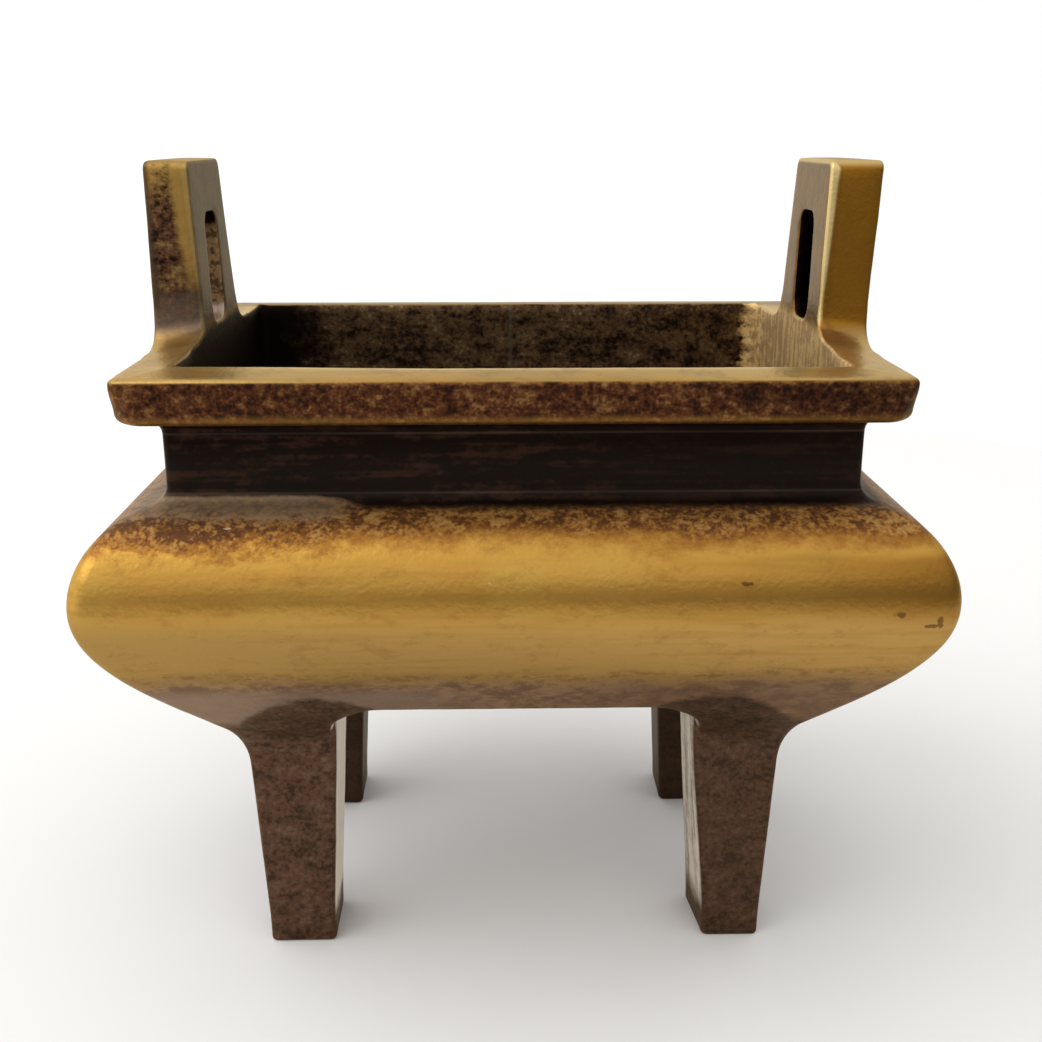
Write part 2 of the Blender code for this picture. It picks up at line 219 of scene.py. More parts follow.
def undersideRounding():
    # points and outward normals, from the flank down
    low, flank = bellyCurve()[0]
    stations = roundCorner(low + flank, low, low - Vector((1, 0)), body["undersideEdge"], steps["edge"])
    return [(point, Vector((-heading.y, heading.x))) for point, heading in stations]


def topSection():
    # the rim's two upper edges, as overhang and depth below the top
    curve = [(1 - math.cos(a), 1 - math.sin(a)) for a in upTo(0, quarterTurn, steps["edge"])]
    outer = [(body["rimOverhang"] - body["rimEdge"] * a, body["rimEdge"] * d) for a, d in curve]
    inner = [(-body["neckWall"] + body["mouthEdge"] * a, body["mouthEdge"] * d) for a, d in curve]
    across = stretch(outer[-1][0], inner[-1][0], steps["flat"])[1:]
    return outer + [(overhang, 0) for overhang in across] + inner[::-1]


def wallProfile():
    # rows from the end of the flank up over the rim and down to the floor:
    # overhang, height, corner radius, whether a handle interrupts it, whether it is inside
    flankEnd = undersideRounding()[0][0]
    belly = [flankEnd] + [p for p, _ in bellyCurve() if p.y > flankEnd.y + weld]
    footHeight = shoulderZ + body["shoulderOverhang"] * math.tan(body["shoulderSlope"])
    neckFoot = Vector((0, footHeight))
    neckTop = Vector((0, rimUnderZ))
    rimUnder = Vector((body["rimOverhang"], rimUnderZ))
    rimTop = Vector((body["rimOverhang"], rimTopZ))
    cove = roundCorner(belly[-1], neckFoot, neckTop, body["neckCove"], steps["edge"])
    rimCove = roundCorner(neckFoot, neckTop, rimUnder, body["rimCove"], steps["edge"])
    rimEdge = roundCorner(neckTop, rimUnder, rimTop, body["rimLowerEdge"], steps["edge"])
    rows = [(p.x, p.y, bellyCorner(p.y), 0, 0) for p in belly]
    upright = upTo(cove[-1][0], rimCove[0][0], steps["flat"])[1:-1]
    neck = [p for p, _ in cove] + upright + [p for p, _ in rimCove]
    rows += [(p.x, p.y, body["neckCorner"], 0, 0) for p in neck]
    rows += [(p.x, p.y, body["rimLowerCorner"], 0, 0) for p, _ in rimEdge]
    faceTop = Vector((body["rimOverhang"], rimTopZ - body["rimEdge"]))
    for share in upTo(0, 1, steps["flat"])[1:-1]:
        point = blend(rimEdge[-1][0], faceTop, share)
        rows.append((point.x, point.y, blend(body["rimLowerCorner"], body["rimCorner"], share), 0, 0))
    section = topSection()
    for overhang, depth in section:
        share = (body["rimOverhang"] - overhang) / (body["rimOverhang"] + body["neckWall"])
        rows.append((overhang, rimTopZ - depth, blend(body["rimCorner"], body["mouthCorner"], share), 1, 0))
    inside = insideCurve()
    rows += [(p.x, p.y, max(body["mouthCorner"], bellyCorner(p.y)), 0, 1) for p in inside]
    return rows


def insideCurve():
    # from just under the mouth's edge down to the floor
    curve = bellyCurve()[::-1]
    inside = [point - Vector((heading.y, -heading.x)) * body["bellyWall"] for point, heading in curve]
    mouth = Vector((-body["neckWall"], rimTopZ - body["mouthEdge"]))
    slope = math.tan(body["shoulderSlope"])
    underShoulder = Vector((-body["neckWall"], inside[0].y + (inside[0].x + body["neckWall"]) * slope))
    inside = [point for point in inside if point.y > floorZ + body["floorFillet"]]
    flankWay = inside[-1] - inside[-2]
    floorCorner = inside[-1] + flankWay * (inside[-1].y - floorZ) / -flankWay.y
    edge = roundCorner(mouth, underShoulder, inside[0], body["shoulderEdge"], steps["edge"])
    inwards = floorCorner - Vector((1, 0))
    fillet = roundCorner(inside[-1], floorCorner, inwards, body["floorFillet"], steps["edge"])
    wall = upTo(mouth, edge[0][0], steps["wall"])[1:-1]
    return wall + [p for p, _ in edge] + inside[1:] + [p for p, _ in fillet]


def sideSplit(height):
    share = (height - undersideZ) / (rimUnderZ - undersideZ)
    return blend(legRootY, handleFootY, min(1, max(0, share)))


def ring(overhang, height, cornerRadius):
    # a quarter of the plan at one height, with the same rule as the swept wall
    halfX, halfY = neckX + overhang, neckY + overhang
    cornerX, cornerY = halfX - cornerRadius, halfY - cornerRadius
    split = sideSplit(height)
    xs = stretch(0, legRootX, steps["middle"]) + stretch(legRootX, cornerX, steps["side"])
    ys = stretch(cornerY, split, steps["side"]) + upTo(split, 0, steps["middle"])
    plan = [(x, halfY) for x in xs]
    plan += arc((cornerX, cornerY), cornerRadius, quarterTurn, 0, steps["corner"])
    plan += [(halfX, y) for y in ys]
    return [Vector((x, y, height)) for x, y in plan]


# the handle

def handleOutline():
    foot = Vector((handle["baseWidth"] / 2, rimTopZ))
    corner = Vector((handle["topWidth"] / 2, handleTopZ))
    middle = Vector((0, handleTopZ))
    start = foot + Vector((handle["filletRun"], 0))
    upright = (corner - foot).normalized()
    end = foot + upright * handle["filletRise"]
    pulls = blend(start, foot, handle["filletPull"]), blend(end, foot, handle["filletPull"])
    stations = bezier(start, *pulls, end, steps["fillet"])
    turned = roundCorner(foot, corner, middle, handle["corner"], steps["fillet"])
    stations += [(p, upright) for p in upTo(end, turned[0][0], steps["upright"])[1:-1]]
    stations += turned
    stations += [(p, Vector((-1, 0))) for p in upTo(turned[-1][0], middle, steps["middle"] - 1)[1:]]
    return stations


def handlePoint(overhang, y, z):
    lean = max(0, z - rimTopZ) * math.tan(handle["lean"])
    return Vector((neckX + overhang + lean, y, z))


def handleEdgeRows():
    rows = []
    for overhang, depth in topSection():
        row = []
        for point, heading in handleOutline():
            inward = Vector((-heading.y, heading.x)) * depth
            row.append(handlePoint(overhang, point.x + inward.x, point.y + inward.y))
        rows.append(row)
    return rows


def slotOutline(count, sillSteps, grow=0.0):
    # half of the slot's outline, from the middle of its sill to the middle of its head
    low = rimTopZ + handle["slotSill"] - grow
    high = rimTopZ + handle["slotSill"] + handle["slotHeight"] + grow
    side = handle["slotWidth"] / 2 + grow
    radius = handle["slotCorner"] + grow
    sideSteps = count - 1 - sillSteps - steps["middle"] - 2 * steps["edge"]
    points = [(y, low) for y in stretch(0, side - radius, sillSteps)]
    points += arc((side - radius, low + radius), radius, -quarterTurn, 0, steps["edge"])
    points += [(side, z) for z in stretch(low + radius, high - radius, sideSteps)]
    points += arc((side - radius, high - radius), radius, 0, quarterTurn, steps["edge"])
    points += [(y, high) for y in stretch(side - radius, 0, steps["middle"])]
    return points + [(0, high)]


def slotRows(count, sillSteps):
    # through the handle, with both of its edges rounded a little
    edge = handle["slotEdge"]
    angles = upTo(0, quarterTurn, steps["edge"] // 2)
    sweep = [(edge * (1 - math.sin(a)), edge * (1 - math.cos(a))) for a in angles]
    outer = [(body["rimOverhang"] - depth, grow) for grow, depth in sweep]
    inner = [(-body["neckWall"] + depth, grow) for grow, depth in sweep]
    through = [(overhang, 0) for overhang in upTo(outer[-1][0], inner[-1][0], steps["flat"])[1:-1]]
    rows = []
    for overhang, grow in outer + through + inner[::-1]:
        rows.append([handlePoint(overhang, y, z) for y, z in slotOutline(count, sillSteps, grow)])
    return rows


def zipped(mesh, flat, curved):
    # triangles between two lines that start at the same point, each with the shorter cut across
    i, j = 1, 1
    addFace(mesh, [flat[0], flat[1], curved[1]])
    while i < len(flat) - 1 or j < len(curved) - 1:
        flatEnds, curvedEnds = i == len(flat) - 1, j == len(curved) - 1
        onCurved = flatEnds or not curvedEnds and (
            (curved[j + 1] - flat[i]).length < (flat[i + 1] - curved[j]).length)
        addFace(mesh, [flat[i], curved[j], curved[j + 1]] if onCurved else [flat[i], flat[i + 1], curved[j]])
        i, j = (i, j + 1) if onCurved else (i + 1, j)


def between(near, far, count):
    # rows from one row to another of as many points, closer together by both
    shares = [0, 0.03] + upTo(0.1, 0.9, count) + [0.97, 1]
    return [[blend(a, b, share) for a, b in zip(near, far)] for share in shares]


# the legs

def legSection(height, inset=0.0):
    share = height / undersideZ
    outerX = neckX - blend(leg["footInsetX"], leg["topInset"], share)
    outerY = neckY - blend(leg["footInsetY"], leg["topInset"], share)
    lowX = outerX - blend(leg["footLength"], leg["topLength"], share) + leg["corner"]
    lowY = outerY - blend(leg["footDepth"], leg["topDepth"], share) + leg["corner"]
    highX = outerX - leg["corner"]
    highY = outerY - leg["corner"]
    radius = leg["corner"] - inset
    plan = [(x, highY + radius) for x in stretch(lowX, highX, steps["side"])]
    plan += arc((highX, highY), radius, quarterTurn, 0, steps["corner"])
    plan += [(highX + radius, y) for y in stretch(highY, lowY, steps["side"])]
    plan += arc((highX, lowY), radius, 0, -quarterTurn, steps["edge"])
    plan += [(x, lowY - radius) for x in stretch(highX, lowX, steps["plate"] - 1)]
    plan += arc((lowX, lowY), radius, -quarterTurn, -2 * quarterTurn, 2)
    plan += [(lowX - radius, y) for y in stretch(lowY, highY, steps["plate"] - 1)]
    plan += arc((lowX, highY), radius, 2 * quarterTurn, quarterTurn, steps["edge"])
    return [Vector((x, y, height)) for x, y in plan]


def edgeRings():
    return [(ring(p.x, p.y, bellyCorner(p.y)), normal) for p, normal in undersideRounding()]


def legRoot():
    # the outline on the body that a leg grows out of, in step with legSection:
    # each point, the body's normal and the fillet's radius
    rings = edgeRings()
    first = steps["middle"]
    last = len(rings[0][0]) - 1 - steps["middle"]
    corner = steps["middle"] + steps["side"]
    flank, flankNormal = rings[0]
    crotch, hip = leg["crotchFillet"], leg["hipFillet"]
    root = []
    for i in range(first, last + 1):
        turn = min(1, max(0, (i - corner) / steps["corner"])) * quarterTurn
        sin, cos = math.sin(turn), math.cos(turn)
        normal = Vector((sin * flankNormal.x, cos * flankNormal.x, (sin + cos) * flankNormal.y))
        share = min(1, (i - first) / steps["side"], (last - i) / steps["side"])
        root.append((flank[i], normal, blend(crotch, hip, share)))
    for points, normal in rings[1:]:
        root.append((points[last], Vector((normal.x, 0, normal.y)), crotch))
    down = Vector((0, 0, -1))
    inner = Vector((legRootX, legRootY, undersideZ))
    for start, end in ((rings[-1][0][last], inner), (inner, rings[-1][0][first])):
        for i in range(1, steps["plate"] + 1):
            root.append((blend(start, end, i / steps["plate"]), down, crotch))
    for points, normal in rings[-2:0:-1]:
        root.append((points[first], Vector((0, normal.x, normal.y)), crotch))
    return root


def legColumn(rootPoint, normal, radius, top, foot):
    along = (foot - top).normalized()
    corner = intersect_line_plane(top, foot, rootPoint, normal)
    wayIn = (corner - rootPoint).normalized()
    turn = wayIn.angle(along)
    reach = min(radius * math.tan(turn / 2), leg["filletShare"] * (corner - rootPoint).length)
    pull = (4 / 3) * math.tan(turn / 4) / math.tan(turn / 2)
    start = corner - wayIn * reach
    end = corner + along * reach
    pulls = start + wayIn * reach * pull, end - along * reach * pull
    fillet = [point for point, _ in bezier(start, *pulls, end, steps["fillet"])]
    down = upTo(end, foot + (top - foot) * leg["footEdge"] / undersideZ, steps["leg"])[1:-1]
    return [rootPoint] + upTo(rootPoint, fillet[0], steps["edge"])[1:-1] + fillet + down


def flared(column, place, count):
    # towards its inner ends, the hip's surface stays by the leg and flares out late
    end = 2 * steps["side"] + steps["corner"]
    fading = steps["edge"] + steps["plate"] // 2
    toX = max(0, 1 - place / steps["side"], 1 - (count - place) / fading)
    toY = max(0, min(1 - (end - place) / steps["side"], 1 - (place - end) / fading))
    hip = column[:steps["edge"] + steps["fillet"] + 1]
    reachOf = [(point - hip[-1]).length for point in hip]
    bent = []
    for point, reach in zip(hip, reachOf):
        share = reach / reachOf[0]
        lateX = share ** (leg["flare"] * toX) if share else 1
        lateY = share ** (leg["flare"] * toY) if share else 1
        x = hip[-1].x + (point.x - hip[-1].x) * lateX
        y = hip[-1].y + (point.y - hip[-1].y) * lateY
        bent.append(Vector((x, y, point.z)))
    return bent + column[len(hip):]


def legRows():
    columns = []
    root = legRoot()
    for i, (station, top, foot) in enumerate(zip(root, legSection(undersideZ), legSection(0))):
        columns.append(flared(legColumn(*station, top, foot), i, len(root)))
    rows = [list(row) for row in zip(*columns)]
    for angle in upTo(0, quarterTurn, steps["edge"]):
        inset = leg["footEdge"] * (1 - math.cos(angle))
        rows.append(legSection(leg["footEdge"] * (1 - math.sin(angle)), inset))
    return rows


def shrinkRows(row, centre, count):
    return [[blend(point, centre, share) for point in row] for share in stretch(0, 1, count)]


def undersidePatches():
    edge = edgeRings()[-1][0]
    middleX = upTo(0, legRootX, steps["middle"])
    middleY = upTo(0, legRootY, steps["middle"])
    sideX = upTo(legRootX, edge[-1].x, steps["plate"])
    sideY = upTo(legRootY, edge[0].y, steps["plate"])
    pairs = (middleX, middleY), (middleX, sideY), (sideX, middleY)
    return [[[Vector((x, y, undersideZ)) for x in xs] for y in ys] for xs, ys in pairs]


def addFace(mesh, points):
    mesh.faces.new([mesh.verts.new(point) for point in points])


def addRows(mesh, rows, closed=False):
    for near, far in zip(rows, rows[1:]):
        count = len(near)
        for i in range(count if closed else count - 1):
            j = (i + 1) % count
            addFace(mesh, [near[i], near[j], far[j], far[i]])


def addCap(mesh, row, centre, count, closed=False):
    rows = shrinkRows(row, centre, count)
    addRows(mesh, rows, closed)
    last = rows[-1]
    for i in range(len(last) if closed else len(last) - 1):
        addFace(mesh, [last[i], last[(i + 1) % len(last)], centre])


def quarterParts(profile):
    # one quarter's handle, leg, underside and floor, made one by one to meet the swept wall
    mesh = bmesh.new()
    middle = steps["middle"]
    edge = handleEdgeRows()
    rowsOfTop = [row for row in profile if row[3]]
    rimOuter = ring(*rowsOfTop[0][:3])[-middle - 1:][::-1]
    rimInner = ring(*rowsOfTop[-1][:3])[-middle - 1:][::-1]
    under = sum(1 for point in rimOuter if point.y < edge[0][steps["fillet"]].y + weld)
    slot = slotRows(under + len(edge[0]) - steps["fillet"], under - 1 - steps["edge"] // 2)
    addRows(mesh, edge)
    for rimRow, edgeRow, slotRow in ((rimOuter, edge[0], slot[0]), (rimInner, edge[-1], slot[-1])):
        addRows(mesh, between(rimRow[:under] + edgeRow[steps["fillet"]:], slotRow, steps["flat"]))
        zipped(mesh, rimRow[under - 1:][::-1], edgeRow[:steps["fillet"] + 1])
    addRows(mesh, slot)
    turned = [points for points, _ in edgeRings()]
    addRows(mesh, [points[:middle + 1] for points in turned])
    addRows(mesh, [points[-middle - 1:] for points in turned])
    for patch in undersidePatches():
        addRows(mesh, patch)
    legs = legRows()
    addRows(mesh, legs, closed=True)
    foot = sum(legs[-1], Vector()) / len(legs[-1])
    addCap(mesh, legs[-1], foot, steps["edge"], closed=True)
    addCap(mesh, ring(*profile[-1][:3]), Vector((0, 0, floorZ)), steps["wall"])
    data = bpy.data.meshes.new("quarterParts")
    mesh.to_mesh(data)
    mesh.free()
    return addObject("quarterParts", data)


def addObject(name, data):
    thing = bpy.data.objects.new(name, data)
    bpy.context.scene.collection.objects.link(thing)
    return thing


def profileObject(profile):
    points = [(overhang, 0, height) for overhang, height, *_ in profile]
    data = bpy.data.meshes.new("wallProfile")
    data.from_pydata(points, [(i, i + 1) for i in range(len(points) - 1)], [])
    for name, place in (("cornerRadius", 2), ("underHandle", 3), ("inside", 4)):
        storePoints(data, name, [row[place] for row in profile])
    return addObject("wallProfile", data)


# node trees

class Signal:
    # a node's output that can stand in sums and products; a product has no node until it is
    # needed, so that a sum can take its factors into a single node

    def __init__(self, tree, made=None, factors=None):
        self.tree = tree
        self.made = made
        self.factors = factors

    @property
    def socket(self):
        if self.factors and not self.made:
            self.made = self.maths("MULTIPLY", *self.factors).made
        return self.made

    def node(self, kind, settings=None, inputs=None, out=0):
        # settings first, then the values or links of its sockets, by name or by number
        node = self.tree.nodes.new(kind)
        for name, value in (settings or {}).items():
            if name == "stops":
                setStops(node.color_ramp, value)
            else:
                setattr(node, name, value)
        for key, value in (inputs or {}).items():
            for item in value if isinstance(value, list) else [value]:
                if isinstance(item, Signal):
                    self.tree.links.new(item.socket, node.inputs[key])
                else:
                    node.inputs[key].default_value = item
        return Signal(self.tree, node.outputs[out])

    def maths(self, operation, first, second=0.0):
        return self.node("ShaderNodeMath", {"operation": operation}, {0: first, 1: second})

    def vectorMaths(self, operation, inputs):
        return self.node("ShaderNodeVectorMath", {"operation": operation}, {0: self, **inputs})

    def attribute(self, name):
        return self.node("GeometryNodeInputNamedAttribute", {"data_type": "FLOAT"}, {"Name": name})

    def clamp(self):
        return self.node("ShaderNodeClamp", {}, {"Value": self})

    def floor(self):
        return self.maths("FLOOR", self)

    def sine(self):
        return self.maths("SINE", self)

    def lower(self, other):
        return self.maths("MINIMUM", self, other)

    def higher(self, other):
        return self.maths("MAXIMUM", self, other)

    def size(self):
        return self.maths("ABSOLUTE", self)

    def rise(self, low, high, top=1.0):
        # eased from 0 at low to top at high, and falling where low is the higher of the two
        settings = {"interpolation_type": "SMOOTHSTEP"}
        inputs = {"Value": self, "From Min": low, "From Max": high, "To Max": top}
        return self.node("ShaderNodeMapRange", settings, inputs)

    def parts(self):
        along = self.node("ShaderNodeSeparateXYZ", {}, {"Vector": self}, out="X")
        return [Signal(self.tree, socket) for socket in along.socket.node.outputs]

    def cosine(self):
        return self.maths("COSINE", self)

    def __gt__(self, other):
        return self.maths("GREATER_THAN", self, other)

    def __add__(self, other):
        for product, rest in ((other, self), (self, other)):
            if isinstance(product, Signal) and product.factors:
                inputs = dict(enumerate((*product.factors, rest)))
                return self.node("ShaderNodeMath", {"operation": "MULTIPLY_ADD"}, inputs)
        return self.maths("ADD", self, other)

    def __radd__(self, other):
        return self + other

    def __sub__(self, other):
        return self.maths("SUBTRACT", self, other)

    def __rsub__(self, other):
        return self.maths("SUBTRACT", other, self)

    def __mul__(self, other):
        return Signal(self.tree, factors=(self, other))

    def __rmul__(self, other):
        return self * other

    def __truediv__(self, other):
        return self.maths("DIVIDE", self, other)

    def __rtruediv__(self, other):
        return self.maths("DIVIDE", other, self)


def setStops(ramp, stops):
    # a ramp starts with two stops
    for i, (place, colour) in enumerate(stops):
        stop = ramp.elements[i] if i < len(ramp.elements) else ramp.elements.new(place)
        stop.position = place
        stop.color = (*colour, 1)


def newTree(name, values):
    # a geometry tree with an input for each value; gives the tree, its starting signal and its inputs
    kinds = {bpy.types.Object: "Object", bpy.types.Material: "Material", int: "Int", float: "Float"}
    tree = bpy.data.node_groups.new(name, "GeometryNodeTree")
    tree.interface.new_socket("Geometry", in_out="OUTPUT", socket_type="NodeSocketGeometry")
    tree.interface.new_socket("Geometry", in_out="INPUT", socket_type="NodeSocketGeometry")
    for label, value in values.items():
        tree.interface.new_socket(label, in_out="INPUT", socket_type="NodeSocket" + kinds[type(value)])
    source = tree.nodes.new("NodeGroupInput")
    given = {label: Signal(tree, source.outputs[label]) for label in ("Geometry", *values)}
    return tree, Signal(tree), given


def endTree(tree, start, geometry, material):
    real = start.node("GeometryNodeRealizeInstances", {}, {"Geometry": geometry})
    dressed = start.node("GeometryNodeSetMaterial", {}, {"Geometry": real, "Material": material})
    sink = tree.nodes.new("NodeGroupOutput")
    tree.links.new(dressed.socket, sink.inputs["Geometry"])
    return tree


def bake(thing, makeTree, values):
    # gives the modifier its inputs by identifier, and turns the result into a plain mesh
    tree = makeTree(values)
    modifier = thing.modifiers.new(tree.name, "NODES")
    modifier.node_group = tree
    identifiers = {s.name: s.identifier for s in tree.interface.items_tree if s.in_out == "INPUT"}
    for label, value in values.items():
        modifier[identifiers[label]] = value
    bpy.context.view_layer.update()
    depsgraph = bpy.context.evaluated_depsgraph_get()
    result = bpy.data.meshes.new_from_object(thing.evaluated_get(depsgraph))
    thing.modifiers.remove(modifier)
    return result


def sweptWallTree(values):
    # sweeps the profile round a rounded rectangle, cuts it away under the handle,
    # joins it to the quarter's other parts and mirrors all of it about both middles
    tree, start, given = newTree("sweptWall", values)
    profile = start.node("GeometryNodeObjectInfo", {}, {"Object": given["Profile"]}, out="Geometry")
    rows = start.node("GeometryNodeAttributeDomainSize", {}, {"Geometry": profile}, out="Point Count")
    middle, side, corner = given["Middle Steps"], given["Side Steps"], given["Corner Steps"]
    footColumn = middle + side * 2 + corner
    columns = footColumn + middle + 1
    grid = start.node("GeometryNodeMeshGrid", {}, {"Vertices X": columns, "Vertices Y": rows})
    index = start.node("GeometryNodeInputIndex")
    column = ((index + 0.5) / rows).floor()
    row = index - column * rows

    def sampled(kind, value):
        inputs = {"Geometry": profile, "Value": value, "Index": row}
        return start.node("GeometryNodeSampleIndex", {"data_type": kind}, inputs)

    def ofProfile(name):
        return sampled("FLOAT", start.attribute(name))

    place = sampled("FLOAT_VECTOR", start.node("GeometryNodeInputPosition"))
    overhang, _, height = place.parts()
    radius = ofProfile("cornerRadius")

    alongMiddle = (column / middle).clamp()
    alongSide = ((column - middle) / side).clamp()
    roundTheCorner = ((column - middle - side) / corner).clamp() * quarterTurn
    acrossSide = ((column - middle - side - corner) / side).clamp()
    acrossMiddle = ((column - footColumn) / middle).clamp()
    halfX = given["Half Length"] + overhang
    halfY = given["Half Depth"] + overhang
    splitShare = ((height - given["Split Low"]) / (given["Split High"] - given["Split Low"])).clamp()
    split = blend(given["Leg Root Across"], given["Handle Foot Across"], splitShare)
    x = given["Leg Root Along"] * alongMiddle + (halfX - radius - given["Leg Root Along"]) * alongSide
    x = x + radius * roundTheCorner.sine()
    y = halfY - radius * (1 - roundTheCorner.cosine())
    y = y - (halfY - radius - split) * acrossSide - split * acrossMiddle
    where = start.node("ShaderNodeCombineXYZ", {}, {"X": x, "Y": y, "Z": height})
    wall = start.node("GeometryNodeSetPosition", {}, {"Geometry": grid, "Position": where})
    settings = {"data_type": "FLOAT", "domain": "POINT"}
    inputs = {"Geometry": wall, "Name": "inside", "Value": ofProfile("inside")}
    wall = start.node("GeometryNodeStoreNamedAttribute", settings, inputs)

    def onPoints(value):
        return start.node("GeometryNodeFieldOnDomain", {"domain": "POINT", "data_type": "FLOAT"}, {0: value})

    covered = (onPoints(ofProfile("underHandle")) > 0.9) * (onPoints(column) > footColumn)
    cut = {"Geometry": wall, "Selection": covered}
    wall = start.node("GeometryNodeDeleteGeometry", {"domain": "FACE"}, cut)
    whole = start.node("GeometryNodeJoinGeometry", {}, {"Geometry": [wall, given["Geometry"]]})
    for scale in ((-1, 1, 1), (1, -1, 1)):
        turned = start.node("GeometryNodeTransform", {}, {"Geometry": whole, "Scale": scale})
        turned = start.node("GeometryNodeFlipFaces", {}, {"Mesh": turned})
        whole = start.node("GeometryNodeJoinGeometry", {}, {"Geometry": [whole, turned]})
    whole = start.node("GeometryNodeMergeByDistance", {}, {"Geometry": whole, "Distance": given["Weld"]})
    return endTree(tree, start, whole, given["Finish"])


def handFinishTree(values):
    # lets the surface waver a little under the file, always inwards, and rubs its edges down unevenly
    tree, start, given = newTree("handFinish", values)

    def wavering(size, shift):
        inputs = {"W": given["Seed"] + shift, "Scale": 1 / given[size], "Detail": 2.0}
        return start.node("ShaderNodeTexNoise", {"noise_dimensions": "4D"}, inputs)

    depth = wavering("Wave Size", 0) * given["Wave Depth"]
    depth = depth + wavering("Ripple Size", 3) * given["Ripple Depth"]
    depth = depth + wavering("Edge Size", 7) * start.attribute("convex") * given["Edge Depth"]
    normal = start.node("GeometryNodeInputNormal")
    push = normal.vectorMaths("SCALE", {"Scale": depth * start.attribute("depth") * -1})
    moved = start.node("GeometryNodeSetPosition", {}, {"Geometry": given["Geometry"], "Offset": push})
    smooth = start.node("GeometryNodeSetShadeSmooth", {}, {"Geometry": moved})
    return endTree(tree, start, smooth, given["Finish"])


def meshPoints(data):
    flat = np.empty(len(data.vertices) * 3)
    data.vertices.foreach_get("co", flat)
    return flat.reshape(-1, 3)


def curvature(data):
    # mean curvature at each point in 1/mm, positive on edges and negative in coves
    data.calc_loop_triangles()
    points = meshPoints(data)
    normals = np.empty(len(data.vertices) * 3)
    data.vertices.foreach_get("normal", normals)
    corners = np.empty(len(data.loop_triangles) * 3, int)
    data.loop_triangles.foreach_get("vertices", corners)
    corners = corners.reshape(-1, 3)
    pull = np.zeros_like(points)
    area = np.zeros(len(points))
    for k in range(3):
        i, j, apex = corners[:, k], corners[:, (k + 1) % 3], corners[:, (k + 2) % 3]
        a, b = points[i] - points[apex], points[j] - points[apex]
        double = np.linalg.norm(np.cross(a, b), axis=1) + 1e-15
        side = ((a * b).sum(1) / double)[:, None] * (points[j] - points[i])
        np.add.at(pull, i, side)
        np.add.at(pull, j, -side)
        np.add.at(area, i, double / 6)
    return -(pull * normals.reshape(-1, 3)).sum(1) / (4 * area) / 1000


def spread(data, values, rounds):
    # averages values over each point's neighbours
    ends = np.empty(len(data.edges) * 2, int)
    data.edges.foreach_get("vertices", ends)
    first, second = ends.reshape(-1, 2).T
    count = np.ones((len(values),) + (1,) * (values.ndim - 1))
    np.add.at(count, first, 1)
    np.add.at(count, second, 1)
    for _ in range(rounds):
        total = values.copy()
        np.add.at(total, first, values[second])
        np.add.at(total, second, values[first])
        values = total / count
    return values


def storePoints(data, name, values):
    layer = data.attributes.get(name) or data.attributes.new(name, "FLOAT", "POINT")
    layer.data.foreach_set("value", np.asarray(values, np.float32))


# how far this casting strays from its drawn sizes
uneven = {
    "mouthRaised": 0.00030,
    "mouthRaisedLeft": 0.00042,
    "rimEdgeSunk": 0.00030,
    "filletRaised": 0.00060,
    "rimCornerWorn": 0.16,
    "leftOuterFace": -0.00050,
    "leftInnerFace": 0.00045,
    "rightOuterFace": 0.00050,
    "rightLegNarrowed": 0.00150,
    "hips": ((0.0262, 0.0322), (0.0447, 0.0140)),
    "hipRounds": 5,
    # between which two values a change comes in, and between which it goes out again
    "hipHeights": ((0.0320, 0.0370), (0.0450, 0.0456)),
    "hipReach": (0.0045, 0.0075),
    "towardsFront": (0.0, 0.030),
    "towardsLeft": (0.008, 0.046),
    "overRimTop": ((-0.0045, -0.0008), (0.001, 0.009)),
    "overRimUnder": ((-0.0015, 0.0), (0.0005, 0.0050)),
    "filletAcross": ((0.0115, 0.0155), (0.0200, 0.0260)),
    "filletAlong": (0.040, 0.044),
    "rimCorner": (0.001, 0.005),
    "handleStart": 0.002,
    "slotRise": ((0.0005, 0.0023), (0.0192, 0.0240)),
    "besideSlot": 0.006,
    "legNarrowing": (0.0, 0.040),
    # heights of a slot's edges over the rim, with their shifts in depth
    "slotHeights": (0.003, 0.0060, 0.0083, 0.0115, 0.0150, 0.0185),
    "leftNearEdge": (-0.0010, -0.0008, -0.0006, -0.0002, 0.0003, 0.0008),
    "leftFarEdge": (-0.0008, -0.0007, -0.0005, -0.0002, 0.0002, 0.0006),
    "rightNearEdge": (-0.0007, -0.0006, -0.0004, 0.0, 0.0004, 0.0008),
    "rightFarEdge": (-0.0001, 0.0, 0.0002, 0.0005, 0.0008, 0.0011),
}


def eased(values, low, high):
    share = np.clip((values - low) / (high - low), 0, 1)
    return share * share * (3 - 2 * share)


def within(values, start, end):
    # eased in over the pair start and out over the pair end
    return eased(values, *start) * (1 - eased(values, *end))


